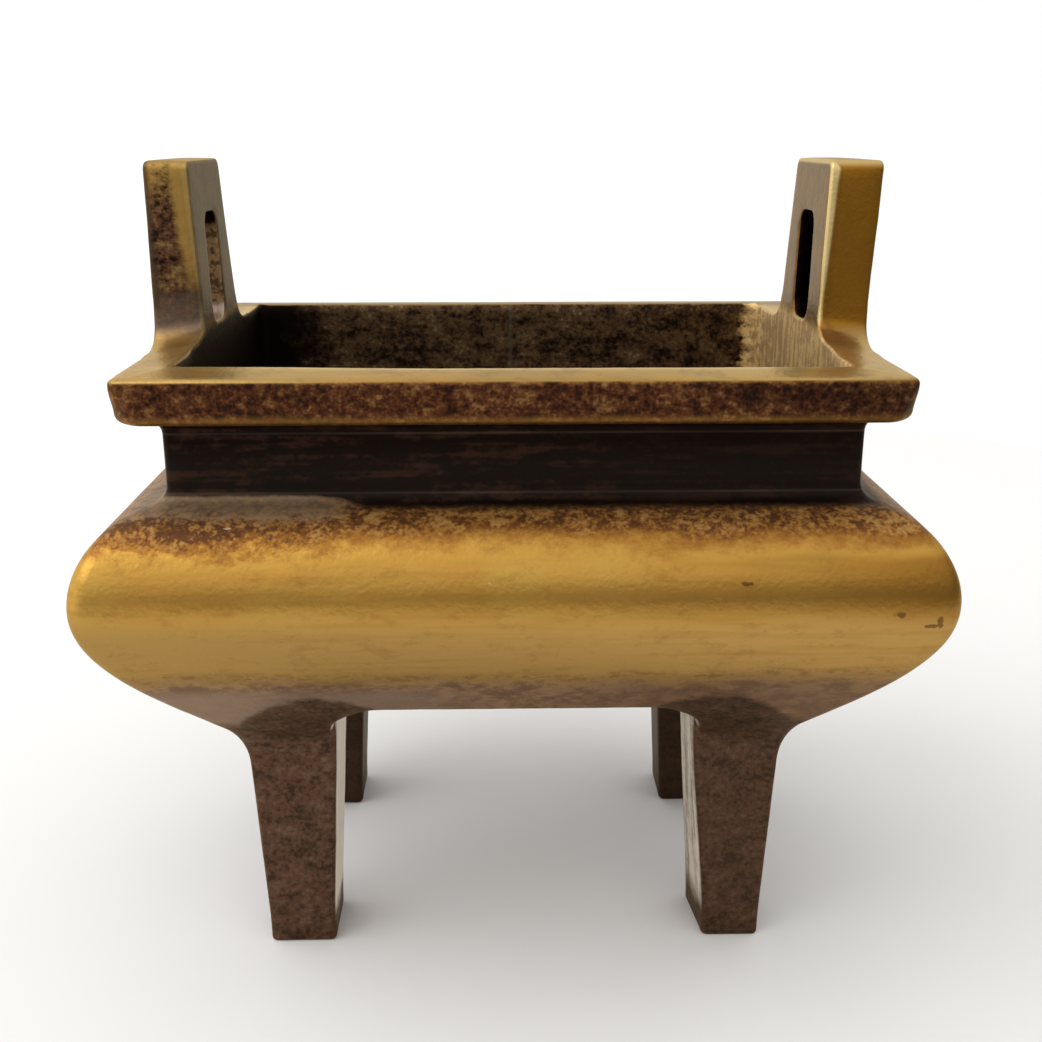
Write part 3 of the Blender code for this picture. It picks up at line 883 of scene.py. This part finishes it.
def strayFromDrawing(data):
    points = meshPoints(data)
    x, y, z = points.T.copy()
    left, side, across = x < 0, np.abs(x), np.abs(y)
    outward = np.sign(x)
    overX, overY = side - neckX, across - neckY
    rimWidth = body["rimOverhang"] + body["neckWall"]

    # the rim's top rises towards the mouth, and along the handles' fillets
    inner = np.clip((body["rimOverhang"] - np.maximum(overX, overY)) / rimWidth, 0, 1)
    toLeft = eased(-x, *uneven["towardsLeft"]) * eased(-y, *uneven["towardsFront"])
    crown = uneven["mouthRaised"] * inner - uneven["rimEdgeSunk"] * (1 - inner) ** 2 * (1 - toLeft)
    crown = crown + uneven["mouthRaisedLeft"] * toLeft * inner ** 2
    byFoot = within(-y, *uneven["filletAcross"]) * eased(side, *uneven["filletAlong"])
    crown = crown + uneven["filletRaised"] * byFoot * inner
    z += within(z - rimTopZ, *uneven["overRimTop"]) * crown

    # its lower corners are worn round
    start = uneven["rimCorner"][0]
    byCorner = eased(overX, *uneven["rimCorner"]) * eased(overY, *uneven["rimCorner"])
    worn = uneven["rimCornerWorn"] * within(z - rimUnderZ, *uneven["overRimUnder"]) * byCorner
    x -= outward * worn * (overX - start)
    y -= np.sign(y) * worn * (overY - start)

    # the handles lean a little differently
    up = eased(z, rimTopZ + uneven["handleStart"], handleTopZ)
    through = np.clip((overX + body["neckWall"]) / rimWidth, 0, 1)
    leftShift = blend(uneven["leftInnerFace"], uneven["leftOuterFace"], through)
    x += outward * up * np.where(left, leftShift, uneven["rightOuterFace"] * through)

    # the slots are cut a little askew
    above = points[:, 2] - rimTopZ
    half = handle["slotWidth"] / 2
    fade = 1 - eased(np.abs(y), half, half + uneven["besideSlot"])
    fade = fade * within(above, *uneven["slotRise"])
    toFar = np.clip((y + half) / (2 * half), 0, 1)
    for name, here in (("left", left), ("right", ~left)):
        nearShift = np.interp(above, uneven["slotHeights"], uneven[name + "NearEdge"])
        farShift = np.interp(above, uneven["slotHeights"], uneven[name + "FarEdge"])
        y += np.where(here, blend(nearShift, farShift, toFar) * fade, 0)

    # the right front leg is narrower towards its foot
    height = points[:, 2]
    narrowed = (height < undersideZ) & (points[:, 1] < 0) & ~left
    topInner = neckX - leg["topInset"] - leg["topLength"]
    footInner = neckX - leg["footInsetX"] - leg["footLength"]
    innerFace = blend(footInner, topInner, height / undersideZ)
    width = blend(leg["footLength"], leg["topLength"], height / undersideZ)
    toInner = 1 - np.clip((side - innerFace) / width, 0, 1)
    toFront = np.clip((-y - (neckY - leg["topInset"] - leg["topDepth"])) / leg["topDepth"], 0, 1)
    narrow = uneven["rightLegNarrowed"] * (1 - eased(height, *uneven["legNarrowing"])) * toInner * toFront
    x += np.where(narrowed, narrow, 0)
    data.vertices.foreach_set("co", np.stack((x, y, z), 1).ravel())
    data.update()


def softenHips(data):
    # rounds the hips' inner edges, which the flared columns leave sharp
    for _ in range(uneven["hipRounds"]):
        points = meshPoints(data)
        side, across, height = np.abs(points).T
        share = within(height, *uneven["hipHeights"])
        near = np.zeros(len(points))
        for hipSide, hipAcross in uneven["hips"]:
            away = np.hypot(side - hipSide, across - hipAcross)
            near = np.maximum(near, 1 - eased(away, *uneven["hipReach"]))
        points += (share * near)[:, None] * (spread(data, points, 1) - points)
        data.vertices.foreach_set("co", points.ravel())
    data.update()


# the hand finish ends at a handle's fillet and comes in over the feet
unfinished = {
    "across": ((0.0115, 0.0135), (0.0215, 0.0240)),
    "along": (0.042, 0.045),
    "height": ((0.0915, 0.0930), (0.0985, 0.1010)),
    "overFeet": 0.004,
}


def finishDepth(data):
    side, across, height = np.abs(meshPoints(data)).T
    fillet = within(across, *unfinished["across"]) * eased(side, *unfinished["along"])
    fillet = fillet * within(height, *unfinished["height"])
    return (1 - fillet) * np.clip((height - leg["footEdge"]) / unfinished["overFeet"], 0, 1)


def faceOutwards(data):
    mesh = bmesh.new()
    mesh.from_mesh(data)
    bmesh.ops.recalc_face_normals(mesh, faces=mesh.faces)
    mesh.to_mesh(data)
    mesh.free()


# the hand finish's inputs, in metres
wear = {
    "Wave Size": 0.016,
    "Wave Depth": 0.00010,
    "Ripple Size": 0.005,
    "Ripple Depth": 0.00003,
    "Edge Size": 0.004,
    "Edge Depth": 0.00022,
    "Seed": 4.0,
}


# mean curvature in 1/mm from which a point counts as an edge
fullEdge = 0.5


def makeBurner(material):
    profile = wallProfile()
    parts = quarterParts(profile)
    rail = profileObject(profile)
    data = bake(parts, sweptWallTree, {
        "Profile": rail,
        "Half Length": neckX,
        "Half Depth": neckY,
        "Leg Root Along": legRootX,
        "Leg Root Across": legRootY,
        "Handle Foot Across": handleFootY,
        "Split Low": undersideZ,
        "Split High": rimUnderZ,
        "Middle Steps": steps["middle"],
        "Side Steps": steps["side"],
        "Corner Steps": steps["corner"],
        "Weld": weld,
        "Finish": material,
    })
    bpy.data.objects.remove(parts)
    bpy.data.objects.remove(rail)
    faceOutwards(data)
    softenHips(data)
    strayFromDrawing(data)
    storePoints(data, "convex", np.clip(spread(data, curvature(data), 2) / fullEdge, 0, 1))
    storePoints(data, "depth", finishDepth(data))
    rough = addObject("roughCasting", data)
    finished = bake(rough, handFinishTree, {**wear, "Finish": material})
    bpy.data.objects.remove(rough)
    burner = addObject("patinated_burner", finished)
    print("burner:", len(finished.vertices), "points,", len(finished.polygons), "faces")
    return burner


# the metal's colours, clean and tarnished, in linear light, and where its marks lie in mm
brass = {
    "gold": (0.52, 0.300, 0.062),
    "redGold": (0.50, 0.265, 0.054),
    "deepGold": (0.35, 0.165, 0.026),
    "ochre": (0.36, 0.215, 0.055),
    "goldBrown": (0.300, 0.134, 0.014),
    "umberGold": (0.20, 0.092, 0.019),
    "tan": (0.455, 0.268, 0.078),
    "leftTan": (0.375, 0.226, 0.066),
    "rimTan": (0.355, 0.225, 0.074),
    "footTan": (0.36, 0.240, 0.105),
    "leftFootTan": (0.225, 0.150, 0.078),
    "cream": (0.68, 0.52, 0.23),
    "olive": (0.27, 0.145, 0.026),
    "mauve": (0.320, 0.185, 0.108),
    "darkMauve": (0.150, 0.082, 0.052),
    "taupe": (0.150, 0.108, 0.078),
    "hipGrey": (0.265, 0.185, 0.140),
    "greyed": (0.25, 0.175, 0.110),
    "sideTan": (0.100, 0.070, 0.042),
    "sideGold": (0.170, 0.088, 0.025),
    "sideBrown": (0.090, 0.047, 0.017),
    "umber": (0.110, 0.048, 0.024),
    "brown": (0.085, 0.031, 0.013),
    "black": (0.008, 0.004, 0.003),
    "soot": (0.050, 0.030, 0.018),
    "neckBrown": (0.040, 0.016, 0.009),
    "jamb": (0.380, 0.240, 0.115),
    "jambSpot": (0.120, 0.070, 0.034),
    "sill": (0.420, 0.320, 0.250),
    "wallGold": (0.80, 0.550, 0.220),
    "wallBrown": (0.36, 0.225, 0.100),
    "backLeg": (0.040, 0.022, 0.013),
    "pale": (0.90, 0.82, 0.70),
    "green": (0.160, 0.145, 0.095),
    "chip": (0.62, 0.52, 0.36),
    # mottled skins, each from its darkest spots to its lightest grains
    "rust": [
        (0.36, (0.040, 0.017, 0.009)),
        (0.44, (0.120, 0.045, 0.016)),
        (0.50, (0.215, 0.088, 0.021)),
        (0.57, (0.350, 0.160, 0.030)),
        (0.70, (0.430, 0.250, 0.080)),
    ],
    "rimFace": [
        (0.32, (0.022, 0.009, 0.006)),
        (0.44, (0.058, 0.020, 0.009)),
        (0.52, (0.094, 0.031, 0.013)),
        (0.60, (0.122, 0.050, 0.018)),
        (0.74, (0.240, 0.120, 0.042)),
    ],
    "leg": [
        (0.32, (0.042, 0.024, 0.015)),
        (0.44, (0.076, 0.042, 0.024)),
        (0.52, (0.104, 0.051, 0.030)),
        (0.60, (0.110, 0.060, 0.037)),
        (0.76, (0.150, 0.092, 0.056)),
    ],
    "leftHandle": [
        (0.35, (0.014, 0.008, 0.006)),
        (0.44, (0.060, 0.028, 0.015)),
        (0.51, (0.115, 0.047, 0.022)),
        (0.57, (0.120, 0.072, 0.034)),
        (0.66, (0.240, 0.140, 0.044)),
    ],
    "within": [
        (0.34, (0.014, 0.009, 0.006)),
        (0.45, (0.066, 0.036, 0.019)),
        (0.53, (0.125, 0.068, 0.032)),
        (0.62, (0.150, 0.098, 0.046)),
        (0.74, (0.320, 0.240, 0.125)),
    ],
    # the shoulder's tarnish, from none to full
    "creep": [
        (0.0, (0.52, 0.290, 0.056)),
        (0.20, (0.48, 0.260, 0.052)),
        (0.40, (0.38, 0.185, 0.034)),
        (0.58, (0.29, 0.114, 0.020)),
        (0.74, (0.28, 0.116, 0.028)),
        (0.90, (0.22, 0.101, 0.036)),
        (1.0, (0.17, 0.092, 0.041)),
    ],
    # ovals on the front: their middles, and their reach along and up
    "stains": [
        ((-43.8, 73.8), (7.0, 0.8)),
        ((51.5, 63.5), (0.9, 0.5)),
        ((57.2, 62.3), (0.5, 1.0)),
        ((56.0, 61.8), (1.3, 0.3)),
        ((30.8, 67.9), (1.1, 0.3)),
    ],
    "chips": [
        ((-3.8, 68.3), (0.30, 0.26)),
        ((-39.0, 74.6), (0.6, 0.14)),
    ],
    "creepReach": 5.2,
    "goldRoughness": 0.35,
    "darkRoughness": 0.50,
    "specular": 0.20,
    "edgeTint": (0.88, 0.79, 0.62),
    "grainDepth": 0.00005,
}


def patinatedBrass():
    # lengths in mm; each rise goes from none at its first number to full at its second
    material = bpy.data.materials.new("patinatedBrass")
    material.use_nodes = True
    tree = material.node_tree
    shader = tree.nodes["Principled BSDF"]
    start = Signal(tree)
    metres = start.node("ShaderNodeTexCoord", out="Object")
    facing = start.node("ShaderNodeTexCoord", out="Normal")
    place = metres.vectorMaths("SCALE", {"Scale": 1000.0})
    x, y, z = place.parts()
    along, across = x.size(), y.size()
    facingAlong, _, _ = facing.parts()
    halfLength, halfDepth = 1000 * neckX, 1000 * neckY
    levels = undersideZ, widestZ, shoulderZ, rimUnderZ, rimTopZ, handleTopZ
    underside, widest, shoulder, rimUnder, rimTop, handleTop = (1000 * height for height in levels)
    up = z - rimTop

    def named(name):
        return start.node("ShaderNodeAttribute", {"attribute_name": name}, out="Fac")

    def noise(size, seed, stretchBy=(1, 1, 1), detail=1.0, rough=0.5):
        # uneven from 0 to 1, in patches of about this size
        shifted = place.vectorMaths("DIVIDE", {1: stretchBy}).vectorMaths("ADD", {1: (seed * 31.7,) * 3})
        inputs = {"Vector": shifted, "Scale": 1 / size, "Detail": detail, "Roughness": rough}
        return start.node("ShaderNodeTexNoise", {}, inputs)

    def ramped(name, share):
        return start.node("ShaderNodeValToRGB", {"stops": brass[name]}, {"Fac": share})

    def layered(colour, *layers):
        # lays colours, given by name or as signals, over each other by their shares
        for share, skin in layers:
            inputs = {0: share}
            for socket, paint in ((6, colour), (7, skin)):
                inputs[socket] = paint if isinstance(paint, Signal) else (*brass[paint], 1)
            colour = start.node("ShaderNodeMix", {"data_type": "RGBA"}, inputs, out=2)
        return colour

    convex, inside = named("convex"), named("inside")
    patch = noise(11, 1, detail=0)
    fleck = noise(0.8, 3, rough=0.7)
    mottle = noise(2.4, 4, (1.7, 1.7, 1), detail=4, rough=0.78)
    streak = noise(1.0, 5, (16, 16, 1))
    run = noise(1.5, 6, (1, 1, 12), rough=0.65)
    sway = (patch - 0.5) * 2
    ragged = mottle - 0.5
    flecked = fleck - 0.5
    speckled = mottle + flecked * 0.7
    frayed = ragged * 1.5 + flecked * 3

    def ovals(name, soft):
        # ragged ovals on the front; the nearest one's edge counts
        nearest = None
        for middle, reach in brass[name]:
            outX = (x - middle[0]) * (1 / reach[0])
            outZ = (z - middle[1]) * (1 / reach[1])
            out = outX * outX + outZ * outZ
            nearest = nearest.lower(out) if nearest else out
        return (nearest + frayed).rise(1.0, soft) * y.rise(-20.0, -25.0)

    # where each part of the casting lies
    over = (along - halfLength).higher(across - halfDepth)
    raised = up.rise(0.3, 2.8)
    mouth = over.rise(-1.75, -2.05) * up.rise(-4.7, -1.7)
    inner = inside.higher(mouth * (up + ragged * 4).rise(3.8, 1.3))
    outer = 1 - inner
    leftSide, rightSide = x.rise(0.0, -20.0), x.rise(0.0, 20.0)
    leftEnd = (x + sway * 6).rise(-20.0, -31.0)
    turned = facingAlong.size()
    faces, toSide = turned.rise(0.7, 0.9), turned.rise(0.35, 0.75)
    archOut = (along - 29.0) * (1 - toSide) + (across - 21.0) * toSide
    arch = z + archOut * archOut * 0.046 + ragged * 2
    legs = arch.rise(underside + 4.5, underside + 2.9)
    legs = legs.higher(z.rise(underside - 2.0, underside - 4.5)) * outer
    level = z + sway * 1.4 + ragged * 4
    flank = level.rise(widest - 9.3, widest - 13.9) * outer
    rim = over.rise(3.2, 4.2).higher(z.rise(rimUnder - 0.1, rimUnder + 0.1))
    rim = rim * z.rise(rimUnder - 6.2, rimUnder - 4.2)
    neckFoot = z - leftEnd * 1.2 + ragged * 0.8
    neck = neckFoot.rise(shoulder - 0.5, shoulder + 0.1) * (1 - rim) * outer
    onRimFace = rim * up.rise(-0.2, -0.6) * outer
    onRimTop = up.rise(-0.6, -0.2) * (1 - raised) * outer
    onHandle = raised * outer

    # bright metal, brushed along the belly, with painted shade towards its right end and a painted dark
    # reflection along its widest line
    # painted reflection: a dark band along the widest line, where the belly mirrors the horizon
    horizonReflectionBand = (z - (widest + 1.5) + sway * 0.4).size().rise(3.6, 0.4) * outer
    lowerHalf = (z + sway * 0.9 + ragged).rise(widest + 1.9, widest - 3.9)
    colour = layered(
        "gold",
        (patch.rise(0.35, 0.65), "redGold"),
        # painted shade: the belly's gold darkens towards its right end, away from the light
        (x.rise(18.0, 58.0, 0.9), "deepGold"),
        (x.rise(48.0, 60.0, 0.35), "umberGold"),
        (lowerHalf, layered("tan", (x.rise(40.0, -45.0), "leftTan"))),
        # the painted dark reflection band, stronger on the right
        (horizonReflectionBand * (0.16 + rightSide * 0.16 - leftSide * 0.14), "olive"),
        (streak.rise(0.42, 0.8, 0.30), "olive"),
        (ragged.rise(0.02, 0.16, 0.22), "umberGold"))

    # tarnish that creeps from the shoulder down over the belly
    reach = brass["creepReach"]
    creep = z - (shoulder - reach) + leftEnd * 1.1 + rightSide * 0.5 + sway * 0.7
    creep = (creep / reach + ragged * (1.1 + leftEnd * 0.7)).clamp()
    tarnished = (z + leftEnd + sway * 0.8 + ragged).rise(shoulder - 6.0, shoulder - 4.6)
    tarnished = tarnished * z.rise(rimUnder - 0.2, rimUnder - 8.2) * outer
    rusty = (z + leftEnd * 1.5 + sway + ragged * 2).rise(shoulder - 4.2, shoulder - 2.2)
    rusty = rusty * creep.rise(0.35, 0.75, 0.75) * tarnished
    greyed = (z + ragged * 5).rise(shoulder - 1.6, shoulder + 0.2, 0.7) * leftEnd * tarnished
    colour = layered(
        colour,
        (tarnished, ramped("creep", creep)),
        (rusty, ramped("rust", speckled - leftEnd * 0.03 - rightSide * 0.02)),
        (greyed, "greyed"))

    # mauve-brown under the belly, greyer on the left hip, then the legs' granular brown, with painted shade
    # on the back legs
    mauve = layered(
        "darkMauve",
        (ragged.rise(-0.10, 0.12), "mauve"),
        (rightSide * 0.45, "darkMauve"),
        (z.rise(underside + 7.0, underside + 4.0, 0.8) * leftSide, "hipGrey"))
    tideLine = (level - (widest - 10.3)).size().rise(1.4, 0.2, 0.45) * mottle.rise(0.44, 0.58) * outer
    legSkin = layered(
        ramped("leg", speckled),
        (rightSide * 0.25, "soot"),
        # painted shade: the back legs, in the belly's shadow, darker
        (y.rise(0.0, 10.0, 0.75), "backLeg"))
    colour = layered(colour, (flank * 0.95, mauve), (tideLine, "umber"), (legs, legSkin))

    # painted reflection: the inner sides of the front legs pale with the floor they mirror
    inwards = (facingAlong * (x > 0)).rise(-0.75, -0.95) + (facingAlong * (1 - (x > 0))).rise(0.75, 0.95)
    floorReflectionSide = inwards * z.rise(underside + 0.1, underside - 1.0) * (z + ragged * 8).rise(3.0, 8.0)
    floorReflectionSide = floorReflectionSide * along.rise(33.0, 31.0)
    floorReflectionSkin = layered(
        "pale",
        ((run + ragged).rise(0.3, 0.8) * (0.12 + rightSide * 0.68), "green"),
        (rightSide * 0.28, "taupe"))
    colour = layered(colour, (floorReflectionSide * y.rise(0.0, -5.0), floorReflectionSkin))

    # near-black neck with faint cloudy marks and two painted highlight lines, near its foot and under the
    # rim
    cloud = (mottle + (streak - 0.5) * 0.8).rise(0.48, 0.72) * (0.75 - rightSide * 0.4)
    # painted highlights: thin light lines where the neck curves into its coves
    neckHighlights = (z - (shoulder + 1.35)).size().rise(0.25, 0.05) + (z - (rimUnder - 2.0)).size().rise(0.25, 0.05)
    neckSkin = layered("black", (cloud, "neckBrown"), (neckHighlights * streak * 0.3, "taupe"))
    colour = layered(colour, (neck, neckSkin))

    # reddish-brown rim face with a rubbed top edge, a painted highlight along its lower edge and worn,
    # partly painted highlight at its left end, and the tan top of the rim
    rough = z + ragged * 1.4
    topRub = rough.rise(rimTop - 0.9, rimTop - 0.1) * (0.35 + rightSide * 0.35)
    # painted highlight: the lower rounded edge of the rim face lighter
    lowEdgeHighlight = rough.rise(rimUnder + 1.8, rimUnder + 0.6, 0.24)
    # worn and partly painted highlight at the rim face's left end
    endWearAndHighlight = (x + ragged * 12).rise(-50.0, -55.0, 0.08)
    rimBrown = onRimFace * (1 - topRub.higher(lowEdgeHighlight).higher(endWearAndHighlight))
    faceSkin = layered(ramped("rimFace", speckled), (x.rise(20.0, 50.0, 0.35), "black"))
    topSkin = layered(
        "rimTan",
        (patch.rise(0.35, 0.65, 0.6), "tan"),
        # worn and partly painted highlight: a cream line along the mouth's inner edge
        (over.rise(1.0, -1.6, 0.6), "cream"),
        (along.rise(12.0, 42.0) * (0.20 + rightSide * 0.20), "cream"),
        (ragged.rise(0.0, 0.14, 0.30), "taupe"),
        (y.rise(30.0, 34.0, 0.7), "taupe"))
    colour = layered(colour, (rimBrown, faceSkin), (onRimTop, topSkin))

    # the left handle's blotches, its mottled top and inner band, its grey base and dark outer edge
    brightTop = (z + ragged * 28).rise(handleTop - 7.4, handleTop + 0.1, 0.8)
    bandEdge = x + (up - 9.3) * 0.12 + sway * 0.4 + ragged * 2
    innerBand = bandEdge.rise(-49.8, -48.4, 0.9) * (up + sway * 2).rise(5.3, 11.3)
    outEdge = (along - up * 0.04 + ragged * 2).rise(52.4, 53.4, 0.85) * up.rise(3.3, 6.3)
    leftSkin = layered(
        ramped("leftHandle", mottle + flecked * 0.45),
        (brightTop.higher(innerBand), "ochre"),
        ((up + ragged * 12).rise(9.3, 4.3, 0.65), "taupe"),
        ((up + ragged * 4).rise(3.5, 0.7), "leftFootTan"),
        (outEdge, "soot"))

    # the right one's golden brown, and the inner and outer faces of both, over their grain painted as shade
    # on the left handle and as light on the right one
    rightSkin = layered(
        "goldBrown",
        (sway.rise(-0.6, 0.6, 0.25), "umberGold"),
        (up.rise(3.3, 0.7), "footTan"))
    grainy = (run * 0.4 + ragged * 1.8).rise(-0.05, 0.45)
    shadedLeftFaces = layered("soot", (grainy, "sideTan"))
    litRightFaces = layered("sideBrown", (grainy, "sideGold"))

    # the slots
    slot = turned.rise(0.75, 0.4) * across.rise(7.4, 6.9) * up.rise(1.5, 2.1) * up.rise(19.9, 19.1)
    slotSkin = layered(
        "jambSpot",
        ((speckled + ragged * 0.3).rise(0.36, 0.62), "jamb"),
        ((up + ragged * 4).rise(15.9, 17.9), "black"),
        ((up + ragged * 2).rise(4.9, 3.7), "sill"),
        (rightSide, "black"))
    handleSkin = layered(
        rightSkin,
        (leftSide, leftSkin),
        (faces, layered(shadedLeftFaces, (rightSide, litRightFaces))),
        (slot, slotSkin))

    # a handle's rubbed top and corners, worn and partly painted highlight, mostly on the right one, with a
    # painted shade strip beside the right one's corner
    cornerGap = along - across - 33.0 - up * 0.11
    cornerWearAndHighlight = (cornerGap + (up - 2.3) * -0.045).rise(0.75, 0.25) * up.rise(2.3, 4.3)
    edgeWearAndHighlight = up.rise(25.9, 26.9, 0.7).higher(cornerWearAndHighlight) * (0.15 + rightSide * 0.85)
    byCorner = cornerGap.rise(0.6, 0.9, 0.55) * cornerGap.rise(2.2, 1.3) * rightSide * onHandle
    colour = layered(
        colour,
        (onHandle, handleSkin),
        # painted shade: a darker strip on the right handle's corner rounding
        (byCorner, "umberGold"),
        # worn and partly painted highlight: cream on the rubbed edges
        (edgeWearAndHighlight * onHandle * convex.rise(0.1, 0.5), "cream"))

    # the inside, with painted shade on the left wall and painted light on the right wall, over its grains
    seam = (x - 0.3).size().rise(0.7, 0.1, 0.45) * y.rise(30.0, 33.0) * run.rise(0.4, 0.6)
    # painted light: the right inner wall, which faces the light
    litRightWall = (x + ragged * 6).rise(43.6, 45.4) * z.rise(shoulder - 0.4, shoulder + 3.6)
    grains = (mottle + (run - 0.5) * y.rise(26.0, 20.0)).rise(0.42, 0.60)
    litWallPaint = layered("wallBrown", (grains * (0.45 + y.rise(24.0, 30.0, 0.5)), "wallGold"))
    insideSkin = layered(
        ramped("within", mottle + flecked * 0.4 + sway * 0.03 - x.rise(-5.0, 20.0, 0.02)),
        (seam, "green"),
        # painted shade: the left inner wall, facing away from the light, near-black
        ((x + sway * 3 + ragged * 14).rise(-31.0, -42.0), "black"),
        (litRightWall, litWallPaint))
    colour = layered(
        colour,
        (inner, insideSkin),
        (ovals("stains", 0.2) * 0.7, "brown"),
        (ovals("chips", 0.2) * 0.6, "chip"))

    # tarnish is rougher and less metallic
    dull = legs + neck + rimBrown * 0.9 + inner + flank * 0.6 + tarnished * creep * 0.8
    dull = dull.clamp().higher(onHandle * leftSide * 0.7)
    # less metallic where tarnished and under the painted light: the right inner wall, the right handle's
    # faces and the front legs' inner sides
    dustAndPaintedLight = (inner * litRightWall * 0.7).higher(onHandle * faces * rightSide * 0.35)
    dustAndPaintedLight = dustAndPaintedLight.higher(tarnished * creep * 0.6).higher(floorReflectionSide * 0.6)
    metal = 1 - (dull * 0.2).higher(dustAndPaintedLight)
    roughness = brass["goldRoughness"] + dull * (brass["darkRoughness"] - brass["goldRoughness"])
    inputs = {"Strength": 1.0, "Distance": brass["grainDepth"], "Height": fleck}
    bump = start.node("ShaderNodeBump", {}, inputs)
    tree.links.new(colour.socket, shader.inputs["Base Color"])
    tree.links.new(metal.socket, shader.inputs["Metallic"])
    tree.links.new((roughness + ragged * 0.15).socket, shader.inputs["Roughness"])
    tree.links.new(bump.socket, shader.inputs["Normal"])
    shader.inputs["Specular IOR Level"].default_value = brass["specular"]
    shader.inputs["Specular Tint"].default_value = (*brass["edgeTint"], 1)
    return material


studio = {
    "floorRadius": 0.38,
    "floorColour": (0.86, 0.86, 0.855),
    "sky": 1.08,
    "skyFromLeft": 0.2376,
    "horizon": 0.30,
    "horizonFromLeft": 0.55,
    "tint": (1.0, 0.99, 0.975),
    "softboxPlace": (-0.60, -0.20, 0.80),
    "softboxSize": 0.8,
    "softboxPower": 3.0,
}


def paleMaterial():
    material = bpy.data.materials.new("palePaper")
    material.use_nodes = True
    shader = material.node_tree.nodes["Principled BSDF"]
    shader.inputs["Base Color"].default_value = (*studio["floorColour"], 1)
    shader.inputs["Roughness"].default_value = 1.0
    shader.inputs["Specular IOR Level"].default_value = 0.0
    return material


def addFloor():
    data = bpy.data.meshes.new("floor")
    disc = bmesh.new()
    bmesh.ops.create_circle(disc, cap_ends=True, segments=128, radius=studio["floorRadius"])
    disc.to_mesh(data)
    disc.free()
    data.materials.append(paleMaterial())
    floor = addObject("floor", data)


def addSky():
    # white overhead, brighter from the left, dark along the horizon in front;
    # what the camera sees past the floor is plain white
    world = bpy.data.worlds.new("studio")
    world.use_nodes = True
    bpy.context.scene.world = world
    tree = world.node_tree
    background = tree.nodes["Background"]
    start = Signal(tree)
    way = start.node("ShaderNodeTexCoord", out="Generated")
    x, y, z = way.parts()
    shade = z.rise(0.52, 0.04) * (y + x * -0.7).rise(0.3, -0.4)
    level = studio["sky"] + x * -studio["skyFromLeft"]
    horizon = studio["horizon"] + x.lower(0.0) * -studio["horizonFromLeft"]
    seen = start.node("ShaderNodeLightPath", out="Is Camera Ray")
    level = (level + (horizon - level) * shade).higher(seen)
    colours = {0: seen, 6: (*studio["tint"], 1), 7: (1, 1, 1, 1)}
    tint = start.node("ShaderNodeMix", {"data_type": "RGBA"}, colours, out=2)
    tree.links.new(level.socket, background.inputs["Strength"])
    tree.links.new(tint.socket, background.inputs["Color"])


def addSoftbox():
    light = bpy.data.lights.new("softbox", "AREA")
    light.size = studio["softboxSize"]
    light.energy = studio["softboxPower"]
    lamp = addObject("softbox", light)
    lamp.location = studio["softboxPlace"]
    lamp.rotation_euler = (-lamp.location).to_track_quat("-Z", "Y").to_euler()


burner = makeBurner(patinatedBrass())
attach(burner, "root")
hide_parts("burner_casting")

camera = {
    "place": (-0.00331, -0.20972, 0.12573),
    "down": math.radians(16.77),
    "aside": math.radians(1.33),
    "lens": 44.53,
}


def addCamera():
    data = bpy.data.cameras.new("camera")
    data.sensor_width = 36
    data.lens = camera["lens"]
    data.clip_start = 0.01
    eye = addObject("camera", data)
    eye.location = camera["place"]
    eye.rotation_euler = (quarterTurn - camera["down"], 0, -camera["aside"])
    bpy.context.scene.camera = eye


addFloor()
addSky()
addSoftbox()
addCamera()
bpy.context.scene.view_settings.view_transform = "Standard"
print("studio set")
